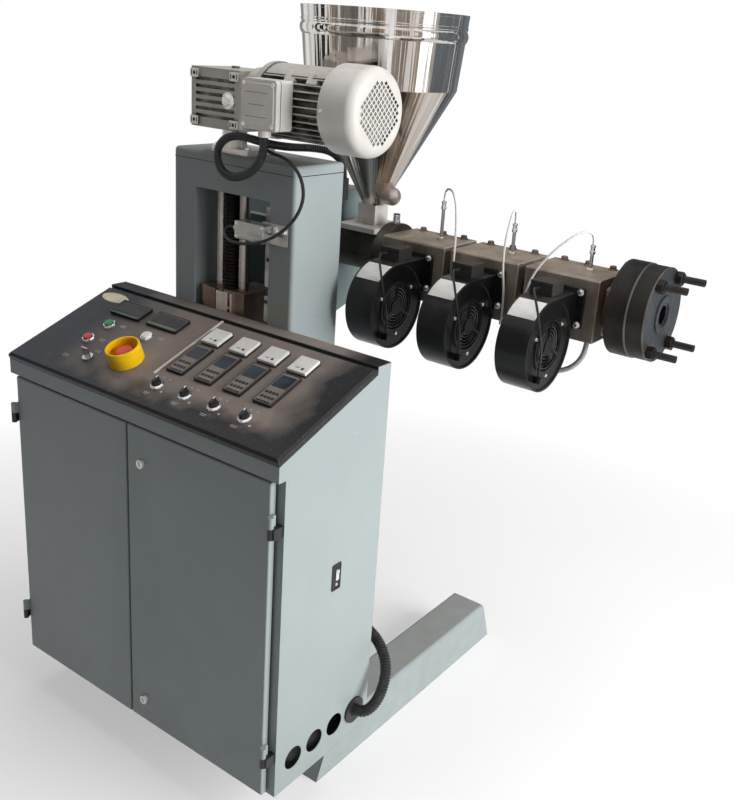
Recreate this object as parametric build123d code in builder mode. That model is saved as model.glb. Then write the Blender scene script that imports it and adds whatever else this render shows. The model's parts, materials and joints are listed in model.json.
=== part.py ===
from build123d import *
from math import atan2, cos, radians, sin, tan
import os

os.makedirs("parts", exist_ok=True)

# Frame: origin on the floor under the middle of the lift column, +X towards the die,
# +Y to the back, +Z up. All sizes are in millimetres.

# General clearances
sheet = 2.0
run_gap = 0.3
swing_gap = 5.0

# Floor base
beam_width = 98.0
beam_height = 117.0
beam_front = -196.0
beam_back = 554.0
beam_slant = 45.0
beam_spacing = 622.0
beam_edge_radius = 8.0

# Lift column
column_width = 360.0
column_depth = 160.0
post_width = 67.0
portal_top = 1246.0
column_top = 1306.0
column_edge_radius = 9.0
cap_height = 21.0
cap_edge_radius = 9.0

# Control cabinet, standing in front of the column
cabinet_width = 800.0
cabinet_depth = 321.5
cabinet_left_of_column = 352.0
fascia_bottom = 825.5
fascia_setback = 19.0
slope_front = 857.7
slope_rise = 104.9
slope_run = 280.0
panel_thickness = 15.6
panel_bevel = 5.0
panel_reveal = 2.0
cable_hole_radius = 25.0
cable_hole_height = 180.5
cable_hole_pitch = 66.0
cable_hole_count = 4
last_hole_from_back = 50.5

# Cabinet doors and their hinges
door_thickness = 14.0
left_door_margin = 20.0
right_door_margin = 19.0
door_bottom_gap = 6.0
left_door_width = 365.5
door_edge_radius = 3.0
frame_strip = 30.0
hinge_height = 45.0
hinge_leaf = 12.0
knuckle_radius = 6.0
knuckle_side = 7.0
knuckle_proud = 5.5
hinge_overlap = 2.0
hinge_from_top = 85.5
hinge_from_bottom = 102.0
lock_radius = 11.0
lock_proud = 6.0
lock_taper = 15.0
lock_inset = 42.0
lock_from_top = 75.5
lock_from_bottom = 55.0

# Things on the sloping console, as places along it (x) and up it (s)
controller_size = (48.0, 96.0)
controller_proud = 6.0
controller_corner = 3.0
controller_first = 421.0
controller_pitch = 80.6
controller_count = 4
controller_up = 157.5
meter_side = 48.0
meter_proud = 9.0
meter_corner = 2.0
meter_up = 238.5
display_size = (96.0, 48.0)
display_proud = 7.0
display_corner = 3.0
display_places = ((147.5, 238.0), (268.5, 238.0))
selector_up = 63.5
selector_radius = 15.0
selector_bezel = 6.0
selector_taper = 20.0
knob_radius = 10.5
knob_height = 13.0
knob_grip = (6.0, 19.0)
knob_grip_height = 8.0
knob_turn = 45.0
button_places = ((144.5, 175.5), (141.0, 117.0), (266.0, 177.0))
button_radius = 15.0
button_bezel = 8.0
button_taper = 12.0
button_cap_radius = 11.0
button_cap = 4.0
stop_place = (290.0, 98.0)
stop_guard_radius = 37.0
stop_guard_wall = 5.0
stop_guard_height = 38.0
stop_radius = 20.0
stop_height = 30.0
stop_taper = 15.0
stop_neck_radius = 13.0
stop_neck_height = 16.0
key_place = (199.0, 67.0)
key_radius = 12.0
key_height = 6.0
key_blade = (20.0, 2.5, 22.0)

# Lift screw and guide rods inside the column
lift_x = -35.0
lift_y = -38.0
rod_radius = 12.0
rod_spacing = 69.0
screw_radius = 20.0

# Lift gearmotor on the column
pedestal_plate = (108.0, 85.0, 12.0)
pedestal_shift = (11.0, 15.5)
pedestal_radius = 27.0
gear_bottom = 1380.0
gear_length = 147.0
gear_depth = 120.0
gear_height = 122.0
gear_edge_radius = 6.0
gear_pad = (24.0, 18.0)
gear_pad_inset = 4.0
gear_pad_corner = 2.0
gear_pad_proud = 4.0
gear_groove = 7.0
gear_groove_depth = 5.0
gear_groove_pitch = 15.0
gear_groove_count = 6
gear_groove_end = 17.0
plug_radius = 9.0
plug_proud = 5.0
motor_above_gear = 68.0
bell_length = 55.0
bell_radius = 62.0
bell_flange_radius = 78.0
bell_flange = 12.0
motor_length = 172.0
motor_core_radius = 62.0
motor_fin_radius = 75.0
motor_fin = 3.0
fin_root = 4.0
motor_fin_count = 32
fan_cover_length = 84.0
fan_cover_radius = 87.5
fan_cover_edge = 22.0
fan_cover_wall = 2.5
fan_depth = 10.0
fan_hole = 7.0
fan_hole_pitch = 10.0
fan_hole_rows = 11
fan_hole_margin = 2.0
box_width = 93.0
box_height = 96.0
box_front = -160.0
box_from_bell = 7.0
box_corner = 6.0
box_lid = 12.0
box_lid_groove = 2.0
box_drop = 1.0

# Limit switch on the right post
switch_size = (83.0, 28.0, 38.0)
switch_edge = 3.0
switch_below_portal = 65.0
switch_right = 125.0
bracket_size = (72.0, 4.0, 44.0)
bracket_corner = 3.0
bracket_slot = (30.0, 7.0)
bracket_slot_inset = 26.0
bracket_right = 167.0
switch_gland_radius = 6.0
switch_gland = 12.0

# Lifted carriage
nut_width = 130.0
nut_depth = 72.0
nut_height = 170.0
nut_top = 1026.0
nut_rib = 10.0
nut_back_shift = 6.0
nut_rib_left = (18.0, 32.0)
nut_rib_right = (62.0, 9.0)
arm_width = 110.0
arm_height = 130.0
back_plate_left = -150.0
back_plate_right = 110.0
back_plate_bottom = 850.0
back_plate_top = 1170.0
back_plate = 22.0
back_plate_gap = 12.0
shelf = 18.0

# Extruder
barrel_y = 318.0
barrel_z = 1089.0
barrel_radius = 45.0
barrel_bore_radius = 20.0
gearbox_length = 280.0
gearbox_right = -10.0
gearbox_width = 240.0
gearbox_height = 250.0
gearbox_edge = 14.0
drive_motor_length = 230.0
drive_motor_radius = 88.0
drive_motor_core = 76.0
drive_motor_fin = 4.0
drive_motor_fin_count = 24
drive_cowl = 60.0
drive_cowl_step = 3.0
drive_cowl_edge = 16.0
feed_radius = 52.0
feed_flange_radius = 76.0
feed_flange = 30.0
block_first = 171.0
block_length = 172.0
block_pitch = 190.0
block_depth = 140.0
block_bottom = 1013.0
block_height = 134.0
block_count = 3
block_edge = 3.0
barrel_flange_radius = 101.0
barrel_flange = 44.0
die_flange_radius = 99.0
die_flange = 41.0
die_face = 838.0
stud_radius = 8.0
stud_spacing = (104.0, 140.0)
stud_reach = 60.0
nut_across = 26.0
stud_nut = 15.0

# Barrel cooling blowers
blower_thickness = 70.0
blower_radius = 96.0
blower_y = 142.0
blower_z = 1020.0
blower_shift = 5.0
outlet_height = 66.0
outlet_flange = 8.0
outlet_flange_width = 108.0
outlet_flange_height = 86.0
outlet_flange_corner = 4.0
blower_box = (50.0, 50.0, 28.0)
blower_box_side = 5.0
blower_box_back = 16.0
blower_box_lid = 8.0
blower_box_seam = 1.0
blower_rim = 4.0
blower_recess = 3.0
blower_eye = 52.0
blower_eye_collar = 5.0
blower_eye_depth = 14.0
blower_hub = 18.0
guard_rings = (25.0, 32.0, 39.0, 46.0)
guard_wire = 2.4
guard_spoke = 5.0
guard_spoke_count = 3
wire_lug = (14.0, 10.0, 12.0)
wire_lug_front = 45.0
wire_lug_rise = 36.0

# Hopper
hopper_x = 84.0
hopper_wall = 2.0
hopper_cylinder_height = 167.0
hopper_top_radius = 194.0
bead_below_top = 49.0
hopper_bead_radius = 5.0
hopper_cone_height = 276.0
hopper_shoulder_radius = 178.0
neck_width = 52.0
neck_height = 48.0
neck_wall = 3.0
gate_size = (112.0, 130.0, 12.0)
saddle_inset = 10.0
spout_above_neck = 25.0
spout_radius = 22.0
spout_end = 74.0
spout_edge = 19.0
nipple_radius = 8.0
nipple_height = 26.0
nipple_sunk = 4.0

# Thermocouples and cords
probe_radius = 4.0
probe_heights = (1238.0, 1218.0, 1204.0)
probe_shift = 30.0
lead_diameter = 5.0
lead_lug_radius = 4.0
lead_lug_height = 18.0
lead_lug_stand = 18.0
lead_lug_places = ((380.0, 1042.0), (515.0, 1012.0), (562.0, 1016.0))
wire_diameter = 5.0
conduit_diameter = 12.0
conduit_gland_radius = 9.0
conduit_gland = 10.0
conduit_gland_places = {2: 515.0, 3: 690.0}
conduit_gland_front = 18.0
hose_diameter = 18.0
hose_gland_radius = 13.0
hose_gland = 14.0
hose_gland_inset = 20.0
hose_gland_wall = 4.0
hose_into_cabinet = 8.0
sleeve_length = 46.0
sleeve_stand = 34.0
cable_diameter = 7.0
cable_gland_radius = 7.0
cable_gland = 10.0
cable_gland_side = 20.0
side_hose_diameter = 26.0
grommet_lip = 5.0

# Worked-out places
switch_height = portal_top - switch_below_portal
gate_bottom = barrel_z + feed_radius
gate_top = gate_bottom + gate_size[2]
hopper_cone_bottom = gate_top + neck_height
hopper_shoulder = hopper_cone_bottom + hopper_cone_height
hopper_top = hopper_shoulder + hopper_cylinder_height
hopper_bead_height = hopper_top - bead_below_top
cabinet_left = -cabinet_left_of_column
cabinet_right = cabinet_left + cabinet_width
cabinet_back = -column_depth / 2
cabinet_front = cabinet_back - cabinet_depth
cabinet_middle = (cabinet_left + cabinet_right) / 2
frame_front = cabinet_front + fascia_setback
slope_back = slope_front + slope_rise
slope_angle = atan2(slope_rise, slope_run)
slope_length = slope_run / cos(slope_angle)
panel_step = panel_thickness * cos(slope_angle) + panel_reveal
strip_top = slope_back + panel_step
door_bottom = beam_height + door_bottom_gap
door_top = fascia_bottom - swing_gap
upper_hinge_height = door_top - hinge_from_top
lower_hinge_height = door_bottom + hinge_from_bottom
upper_lock_height = door_top - lock_from_top
lower_lock_height = door_bottom + lock_from_bottom
cap_top = column_top + cap_height
block_front = barrel_y - block_depth / 2
motor_left = lift_x + gear_length / 2
motor_body_left = motor_left + bell_length
fan_left = motor_body_left + motor_length
gear_front = lift_y - gear_depth / 2
motor_height = gear_bottom + motor_above_gear
box_centre_height = motor_height - box_drop
box_middle = motor_body_left + box_from_bell + box_width / 2


def save(piece, name):
    piece.part.label = name
    export_step(piece.part, f"parts/{name}.step")


def arc_radii(points):
    """Straight runs joined by arcs as large as the shorter run beside each corner allows."""
    spots = [Vector(*p) for p in points]
    radii = []
    for before, corner, after in zip(spots, spots[1:], spots[2:]):
        turn = radians((corner - before).get_angle(after - corner))
        shorter = min((corner - before).length, (after - corner).length)
        radii.append(0.45 * shorter / tan(turn / 2))
    return radii


def cord(name, routes, diameter):
    """One tube for each route, all in one node; prints the tightest arc and the length."""
    with BuildPart() as tubes:
        for points in routes:
            radii = arc_radii(points)
            with BuildLine() as path:
                FilletPolyline(*points, radius=radii)
            route = path.wire()
            with BuildSketch(Plane(points[0], z_dir=route % 0)):
                Circle(diameter / 2)
            sweep(path=route)
            print(name, "length", round(route.length), "radii", [round(r) for r in radii])
    save(tubes, name)


# Floor base: two long beams with slanted ends and a cross beam under the column
for side, middle in (("left", cabinet_middle - beam_spacing / 2), ("right", cabinet_middle + beam_spacing / 2)):
    with BuildPart() as beam:
        with BuildSketch(Plane.YZ.offset(middle - beam_width / 2)):
            Polygon(
                (beam_front, 0),
                (beam_back, 0),
                (beam_back - beam_slant, beam_height),
                (beam_front + beam_slant, beam_height),
                align=None,
            )
        extrude(amount=beam_width)
        fillet(beam.faces().sort_by(Axis.Z)[-1].edges().filter_by(Axis.Y), beam_edge_radius)
    save(beam, f"{side}_beam")

cross_left = cabinet_middle - beam_spacing / 2 + beam_width / 2
cross_right = cabinet_middle + beam_spacing / 2 - beam_width / 2
with BuildPart() as cross_beam:
    with BuildSketch():
        with Locations(((cross_left + cross_right) / 2, 0)):
            Rectangle(cross_right - cross_left, column_depth)
    extrude(amount=beam_height)
save(cross_beam, "cross_beam")

# Column: two posts, a head between them and a rounded cap
for side, sign in (("left", -1), ("right", 1)):
    with BuildPart() as post:
        with BuildSketch(Plane.XY.offset(beam_height)):
            with Locations((sign * (column_width - post_width) / 2, 0)):
                Rectangle(post_width, column_depth)
        extrude(amount=column_top - beam_height)
        outer = post.edges().filter_by(Axis.Z).group_by(Axis.X)
        fillet(outer[-1] if sign > 0 else outer[0], column_edge_radius)
    save(post, f"column_{side}_post")

portal_width = column_width - 2 * post_width
with BuildPart() as head:
    with BuildSketch(Plane.XY.offset(portal_top)):
        Rectangle(portal_width, column_depth)
    extrude(amount=column_top - portal_top)
    with Locations(
        (lift_x - rod_spacing / 2, lift_y, portal_top),
        (lift_x + rod_spacing / 2, lift_y, portal_top),
    ):
        Cylinder(
            rod_radius + run_gap,
            column_top - portal_top,
            align=(Align.CENTER, Align.CENTER, Align.MIN),
            mode=Mode.SUBTRACT,
        )
    with Locations((lift_x, lift_y, portal_top)):
        Cylinder(
            screw_radius + run_gap,
            column_top - portal_top,
            align=(Align.CENTER, Align.CENTER, Align.MIN),
            mode=Mode.SUBTRACT,
        )
save(head, "column_head")

with BuildPart() as cap:
    with BuildSketch(Plane.XY.offset(column_top)):
        RectangleRounded(column_width, column_depth, column_edge_radius)
    extrude(amount=cap_height)
    fillet(cap.faces().sort_by(Axis.Z)[-1].edges(), cap_edge_radius)
save(cap, "column_cap")

# Cabinet of folded sheet
side_outline = (
    (frame_front, beam_height),
    (cabinet_back, beam_height),
    (cabinet_back, strip_top),
    (cabinet_front + slope_run, strip_top),
    (cabinet_front + slope_run, slope_back),
    (cabinet_front, slope_front),
    (cabinet_front, fascia_bottom),
    (frame_front, fascia_bottom),
)
with BuildPart() as left_side:
    with BuildSketch(Plane.YZ.offset(cabinet_left)):
        Polygon(*side_outline, align=None)
    extrude(amount=sheet)
save(left_side, "cabinet_left_side")

last_hole = cabinet_back - last_hole_from_back
with BuildPart() as right_side:
    with BuildSketch(Plane.YZ.offset(cabinet_right - sheet)):
        Polygon(*side_outline, align=None)
        for number in range(cable_hole_count):
            with Locations((last_hole - number * cable_hole_pitch, cable_hole_height)):
                Circle(cable_hole_radius, mode=Mode.SUBTRACT)
    extrude(amount=sheet)
save(right_side, "cabinet_right_side")

inner_left = cabinet_left + sheet
inner_width = cabinet_width - 2 * sheet
with BuildPart() as back:
    with BuildSketch(Plane.YZ.offset(inner_left)):
        with BuildLine():
            Polyline(
                (cabinet_back, beam_height),
                (cabinet_back, strip_top),
                (cabinet_front + slope_run, strip_top),
                (cabinet_front + slope_run, slope_back),
                (cabinet_front + slope_run + sheet, slope_back),
                (cabinet_front + slope_run + sheet, strip_top - sheet),
                (cabinet_back - sheet, strip_top - sheet),
                (cabinet_back - sheet, beam_height),
                close=True,
            )
        make_face()
    extrude(amount=inner_width)
save(back, "cabinet_back")

with BuildPart() as floor:
    with BuildSketch(Plane.XY.offset(beam_height)):
        with Locations((cabinet_middle, (frame_front + sheet + cabinet_back - sheet) / 2)):
            Rectangle(inner_width, cabinet_back - frame_front - 2 * sheet)
    extrude(amount=sheet)
save(floor, "cabinet_floor")

frame_height = fascia_bottom - beam_height
with BuildPart() as door_frame:
    with BuildSketch(Plane.XZ.offset(-frame_front)):
        with Locations((cabinet_middle, beam_height + frame_height / 2)):
            Rectangle(inner_width, frame_height)
            Rectangle(inner_width - 2 * frame_strip, frame_height - 2 * frame_strip, mode=Mode.SUBTRACT)
    extrude(amount=-sheet)
save(door_frame, "cabinet_front_frame")

with BuildPart() as fascia:
    with BuildSketch(Plane.YZ.offset(inner_left)):
        with BuildLine():
            Polyline(
                (cabinet_front, fascia_bottom),
                (frame_front + sheet, fascia_bottom),
                (frame_front + sheet, fascia_bottom + sheet),
                (cabinet_front + sheet, fascia_bottom + sheet),
                (cabinet_front + sheet, slope_front),
                (cabinet_front, slope_front),
                close=True,
            )
        make_face()
    extrude(amount=inner_width)
save(fascia, "cabinet_fascia")

# Console panel on the slope; its local x runs along the cabinet, its y up the slope
slope_normal = (0, -sin(slope_angle), cos(slope_angle))
slope_plane = Plane((cabinet_left, cabinet_front, slope_front), x_dir=(1, 0, 0), z_dir=slope_normal)
console = slope_plane.offset(panel_thickness)
with BuildPart() as panel:
    with BuildSketch(slope_plane):
        Rectangle(cabinet_width, slope_length, align=(Align.MIN, Align.MIN))
    extrude(amount=panel_thickness)
    top_face = max(panel.faces(), key=lambda face: face.center().dot(Vector(*slope_normal)))
    chamfer(top_face.edges(), panel_bevel)
save(panel, "console_panel")

controller_places = [(controller_first + n * controller_pitch, controller_up) for n in range(controller_count)]
with BuildPart() as controllers:
    with BuildSketch(console):
        with Locations(*controller_places):
            RectangleRounded(*controller_size, controller_corner)
    extrude(amount=controller_proud)
save(controllers, "temperature_controllers")

with BuildPart() as meters:
    with BuildSketch(console):
        with Locations(*[(x, meter_up) for x, s in controller_places]):
            RectangleRounded(meter_side, meter_side, meter_corner)
    extrude(amount=meter_proud)
save(meters, "panel_meters")

with BuildPart() as displays:
    with BuildSketch(console):
        with Locations(*display_places):
            RectangleRounded(*display_size, display_corner)
    extrude(amount=display_proud)
save(displays, "speed_displays")

selector_places = [(x, selector_up) for x, s in controller_places]
with BuildPart() as selectors:
    with BuildSketch(console):
        with Locations(*selector_places):
            Circle(selector_radius)
    extrude(amount=selector_bezel, taper=selector_taper)
    with BuildSketch(console.offset(selector_bezel)):
        with Locations(*selector_places):
            Circle(knob_radius)
    extrude(amount=knob_height - knob_grip_height)
    with BuildSketch(console.offset(selector_bezel + knob_height - knob_grip_height)):
        with Locations(*[Location((x, s, 0), (0, 0, knob_turn)) for x, s in selector_places]):
            Rectangle(*knob_grip)
    extrude(amount=knob_grip_height)
save(selectors, "selector_switches")

with BuildPart() as buttons:
    with BuildSketch(console):
        with Locations(*button_places):
            Circle(button_radius)
    extrude(amount=button_bezel, taper=button_taper)
    with BuildSketch(console.offset(button_bezel)):
        with Locations(*button_places):
            Circle(button_cap_radius)
    extrude(amount=button_cap)
save(buttons, "push_buttons")

with BuildPart() as stop:
    with BuildSketch(console):
        with Locations(stop_place):
            Circle(stop_guard_radius)
            Circle(stop_guard_radius - stop_guard_wall, mode=Mode.SUBTRACT)
    extrude(amount=stop_guard_height)
    with BuildSketch(console):
        with Locations(stop_place):
            Circle(stop_neck_radius)
    extrude(amount=stop_neck_height)
    with BuildSketch(console.offset(stop_neck_height)):
        with Locations(stop_place):
            Circle(stop_radius)
    extrude(amount=stop_height - stop_neck_height, taper=stop_taper)
save(stop, "emergency_stop")

with BuildPart() as key_switch:
    with BuildSketch(console):
        with Locations(key_place):
            Circle(key_radius)
    extrude(amount=key_height)
    with BuildSketch(console.offset(key_height)):
        with Locations(key_place):
            Rectangle(key_blade[0], key_blade[1])
    extrude(amount=key_blade[2])
save(key_switch, "key_switch")

# Doors: folded pans, open at the back, hung on outside knuckles
left_door_left = cabinet_left + left_door_margin
left_door_right = left_door_left + left_door_width
right_door_left = left_door_right + swing_gap
right_door_right = cabinet_right - right_door_margin
right_axis = right_door_right + knuckle_side
left_axis = left_door_left - knuckle_side
axis_y = cabinet_front - knuckle_proud
hinge_half = (hinge_height - run_gap) / 2
for name, start, end, edge, axis_x in (
    ("left_door", left_door_left, left_door_right, left_door_left, left_axis),
    ("right_door", right_door_left, right_door_right, right_door_right, right_axis),
):
    with BuildPart() as door:
        with BuildSketch(Plane.XZ.offset(-cabinet_front)):
            with Locations(((start + end) / 2, (door_bottom + door_top) / 2)):
                Rectangle(end - start, door_top - door_bottom)
        extrude(amount=-door_thickness)
        fillet(door.faces().sort_by(Axis.Y)[0].edges(), door_edge_radius)
        offset(amount=-sheet, openings=door.faces().sort_by(Axis.Y)[-1])
        inner_edge = edge + (sheet if axis_x < edge else -sheet) / 2
        for height in (lower_hinge_height, upper_hinge_height):
            with BuildSketch(Plane.XY.offset(height + run_gap / 2)):
                with Locations((axis_x, axis_y)):
                    Circle(knuckle_radius)
                with Locations(((axis_x + inner_edge) / 2, axis_y)):
                    Rectangle(
                        abs(axis_x - inner_edge),
                        door_thickness,
                        align=(Align.CENTER, Align.MIN),
                    )
            extrude(amount=hinge_half)
    save(door, name)

with BuildPart() as hinges:
    for axis_x, sign in ((left_axis, -1), (right_axis, 1)):
        for height in (lower_hinge_height, upper_hinge_height):
            with BuildSketch(Plane.XY.offset(height - hinge_height / 2)):
                with Locations((axis_x, axis_y)):
                    Circle(knuckle_radius)
                with Locations((axis_x + sign * (hinge_leaf / 2 - hinge_overlap), axis_y)):
                    Rectangle(hinge_leaf, frame_front - axis_y, align=(Align.CENTER, Align.MIN))
            extrude(amount=hinge_half)
save(hinges, "door_hinges")

with BuildPart() as locks:
    with BuildSketch(Plane.XZ.offset(-cabinet_front)):
        with Locations(
            (right_door_left + lock_inset, upper_lock_height),
            (right_door_left + lock_inset, lower_lock_height),
        ):
            Circle(lock_radius)
    extrude(amount=lock_proud, taper=lock_taper)
save(locks, "door_locks")

# Guide rods and lead screw, standing on the cross beam and held in the head
rod_top = column_top - run_gap
with BuildPart() as rods:
    with BuildSketch(Plane.XY.offset(beam_height)):
        with Locations((lift_x - rod_spacing / 2, lift_y), (lift_x + rod_spacing / 2, lift_y)):
            Circle(rod_radius)
    extrude(amount=rod_top - beam_height)
save(rods, "guide_rods")

with BuildPart() as screw:
    with BuildSketch(Plane.XY.offset(beam_height)):
        with Locations((lift_x, lift_y)):
            Circle(screw_radius)
    extrude(amount=rod_top - beam_height)
save(screw, "lead_screw")

# Limit switch on a plate on the right post
post_front = -column_depth / 2
with BuildPart() as bracket:
    with BuildSketch(Plane.XZ.offset(-post_front)):
        with Locations((bracket_right - bracket_size[0] / 2, switch_height)):
            RectangleRounded(bracket_size[0], bracket_size[2], bracket_corner)
        with Locations((bracket_right - bracket_slot_inset, switch_height)):
            SlotOverall(*bracket_slot, mode=Mode.SUBTRACT)
    extrude(amount=bracket_size[1])
save(bracket, "limit_bracket")

switch_back = post_front - bracket_size[1]
with BuildPart() as limit_switch:
    with BuildSketch(Plane.XZ.offset(-switch_back)):
        with Locations((switch_right - switch_size[0] / 2, switch_height)):
            Rectangle(switch_size[0], switch_size[2])
    extrude(amount=switch_size[1])
    fillet(limit_switch.edges().filter_by(Axis.Y), switch_edge)
    with BuildSketch(Plane.YZ.offset(switch_right - switch_size[0])):
        with Locations((switch_back - switch_size[1] / 2, switch_height)):
            Circle(switch_gland_radius)
    extrude(amount=-switch_gland)
save(limit_switch, "limit_switch")

# Lift gearmotor
with BuildPart() as pedestal:
    with BuildSketch(Plane.XY.offset(cap_top)):
        with Locations((lift_x + pedestal_shift[0], lift_y + pedestal_shift[1])):
            Rectangle(pedestal_plate[0], pedestal_plate[1])
    extrude(amount=pedestal_plate[2])
    with BuildSketch(Plane.XY.offset(cap_top + pedestal_plate[2])):
        with Locations((lift_x, lift_y)):
            Circle(pedestal_radius)
    extrude(amount=gear_bottom - cap_top - pedestal_plate[2])
save(pedestal, "gear_pedestal")

gear_middle = gear_bottom + gear_height / 2
groove_length = gear_length - 2 * gear_groove_end
pad_spacing = (
    gear_length - gear_pad[0] - 2 * gear_pad_inset,
    gear_height - gear_pad[1] - 2 * gear_pad_inset,
)
with BuildPart() as gear_unit:
    with BuildSketch(Plane.XY.offset(gear_bottom)):
        with Locations((lift_x, lift_y)):
            RectangleRounded(gear_length, gear_depth, gear_edge_radius)
    extrude(amount=gear_height)
    for face, way in ((gear_front, 1), (gear_front + gear_depth, -1)):
        with BuildSketch(Plane.XZ.offset(-face)):
            with Locations((lift_x, gear_middle)):
                with GridLocations(1, gear_groove_pitch, 1, gear_groove_count):
                    Rectangle(groove_length, gear_groove)
        extrude(amount=-way * gear_groove_depth, mode=Mode.SUBTRACT)
        with BuildSketch(Plane.XZ.offset(-face)):
            with Locations((lift_x, gear_middle)):
                with GridLocations(*pad_spacing, 2, 2):
                    RectangleRounded(*gear_pad, gear_pad_corner)
        extrude(amount=way * gear_pad_proud)
    with BuildSketch(Plane.XY.offset(gear_bottom + gear_height)):
        with Locations((lift_x, lift_y)):
            RegularPolygon(plug_radius, 6)
    extrude(amount=plug_proud)
save(gear_unit, "lift_gear_unit")

with BuildPart() as motor:
    with BuildSketch(Plane.YZ.offset(motor_left)):
        with Locations((lift_y, motor_height)):
            Circle(bell_radius)
    extrude(amount=bell_length)
    with BuildSketch(Plane.YZ.offset(motor_body_left - bell_flange)):
        with Locations((lift_y, motor_height)):
            Circle(bell_flange_radius)
    extrude(amount=bell_flange)
    with BuildSketch(Plane.YZ.offset(motor_body_left)):
        with Locations((lift_y, motor_height)):
            Circle(motor_core_radius)
            with PolarLocations((motor_core_radius + motor_fin_radius - fin_root) / 2, motor_fin_count):
                Rectangle(motor_fin_radius - motor_core_radius + fin_root, motor_fin)
    extrude(amount=motor_length)
save(motor, "lift_motor")

fan_face_radius = fan_cover_radius - fan_cover_edge
fan_row = fan_hole_pitch * cos(radians(45))
fan_hole_places = []
for row in range(-fan_hole_rows, fan_hole_rows + 1):
    for column in range(-fan_hole_rows, fan_hole_rows + 1):
        spot = Vector(row * fan_row, column * fan_row)
        corner_reach = spot.length + fan_hole * cos(radians(45)) + fan_hole_margin
        if (row + column) % 2 == 0 and corner_reach < fan_face_radius:
            fan_hole_places.append((spot.X, spot.Y))
with BuildPart() as fan_cover:
    with BuildSketch(Plane.YZ.offset(fan_left)):
        with Locations((lift_y, motor_height)):
            Circle(fan_cover_radius)
    extrude(amount=fan_cover_length)
    fillet(fan_cover.faces().sort_by(Axis.X)[-1].edges(), fan_cover_edge)
    offset(amount=-fan_cover_wall, openings=fan_cover.faces().sort_by(Axis.X)[0])
    with BuildSketch(Plane.YZ.offset(fan_left)):
        with Locations((lift_y, motor_height)):
            Circle(motor_core_radius)
    extrude(amount=fan_cover_length - fan_depth)
    with BuildSketch(Plane.YZ.offset(fan_left)):
        with Locations((lift_y, motor_height)):
            Circle(fan_cover_radius)
    extrude(amount=fan_cover_wall)
    with BuildSketch(Plane.YZ.offset(fan_left + fan_cover_length)):
        with Locations(*[Location((lift_y + y, motor_height + z, 0), (0, 0, 45)) for y, z in fan_hole_places]):
            Rectangle(fan_hole, fan_hole)
    extrude(amount=-fan_cover_wall, mode=Mode.SUBTRACT)
save(fan_cover, "motor_fan_cover")

box_back = lift_y - motor_fin_radius - run_gap
hose_gland_y = box_front + hose_gland_inset
cable_gland_y = box_back - cable_gland_radius - run_gap
box_bottom = box_centre_height - box_height / 2
with BuildPart() as terminal_box:
    with BuildSketch(Plane.XZ.offset(-box_front)):
        with Locations((box_middle, box_centre_height)):
            RectangleRounded(box_width, box_height, box_corner)
    extrude(amount=box_front - box_back)
    with BuildSketch(Plane.XZ.offset(-box_front - box_lid)):
        with Locations((box_middle, box_centre_height)):
            Rectangle(box_width + box_corner, box_height + box_corner)
            RectangleRounded(
                box_width - 2 * box_lid_groove,
                box_height - 2 * box_lid_groove,
                box_corner - box_lid_groove,
                mode=Mode.SUBTRACT,
            )
    extrude(amount=-box_lid_groove, mode=Mode.SUBTRACT)
    with BuildSketch(Plane.XY.offset(box_bottom)):
        with Locations((box_middle, hose_gland_y)):
            Circle(hose_gland_radius)
    extrude(amount=-hose_gland)
    with BuildSketch(Plane.XY.offset(box_bottom)):
        with Locations((box_middle - cable_gland_side, cable_gland_y)):
            Circle(cable_gland_radius)
    extrude(amount=-cable_gland)
save(terminal_box, "motor_terminal_box")

# Lifted carriage: nut block on the rods, arm through the portal, back plate and shelf
nut_front = lift_y - nut_depth / 2 + nut_back_shift
nut_left = lift_x - nut_width / 2
nut_bottom = nut_top - nut_height
with BuildPart() as nut_block:
    with BuildSketch(Plane.XY.offset(nut_bottom)):
        with Locations((lift_x, nut_front + nut_depth / 2)):
            Rectangle(nut_width, nut_depth)
        for start, width in (nut_rib_left, nut_rib_right):
            with Locations((nut_left + start, nut_front - nut_rib)):
                Rectangle(width, nut_rib, align=(Align.MIN, Align.MIN))
        with Locations((lift_x - rod_spacing / 2, lift_y), (lift_x + rod_spacing / 2, lift_y)):
            Circle(rod_radius + run_gap, mode=Mode.SUBTRACT)
        with Locations((lift_x, lift_y)):
            Circle(screw_radius + run_gap, mode=Mode.SUBTRACT)
    extrude(amount=nut_height)
save(nut_block, "nut_block")

nut_back = nut_front + nut_depth
back_plate_front = column_depth / 2 + back_plate_gap
back_plate_back = back_plate_front + back_plate
gearbox_left = gearbox_right - gearbox_length
gearbox_bottom = barrel_z - gearbox_height / 2
shelf_back = barrel_y + gearbox_width / 2
with BuildPart() as carriage:
    with BuildSketch(Plane.XZ.offset(-nut_back)):
        with Locations((lift_x, nut_top - nut_height / 2)):
            Rectangle(arm_width, arm_height)
    extrude(amount=-(back_plate_front - nut_back))
    with BuildSketch(Plane.XZ.offset(-back_plate_front)):
        with Locations(
            ((back_plate_left + back_plate_right) / 2, (back_plate_bottom + back_plate_top) / 2)
        ):
            Rectangle(back_plate_right - back_plate_left, back_plate_top - back_plate_bottom)
    extrude(amount=-back_plate)
    with BuildSketch(Plane.XY.offset(gearbox_bottom - shelf)):
        with Locations(((gearbox_left + gearbox_right) / 2, (back_plate_back + shelf_back) / 2)):
            Rectangle(gearbox_length, shelf_back - back_plate_back)
    extrude(amount=shelf)
    for rib_x in (back_plate_left + shelf / 2, gearbox_right - shelf / 2):
        with BuildSketch(Plane.YZ.offset(rib_x - shelf / 2)):
            Polygon(
                (back_plate_back, back_plate_bottom),
                (shelf_back, gearbox_bottom - shelf),
                (back_plate_back, gearbox_bottom - shelf),
                align=None,
            )
        extrude(amount=shelf)
save(carriage, "carriage")

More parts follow.
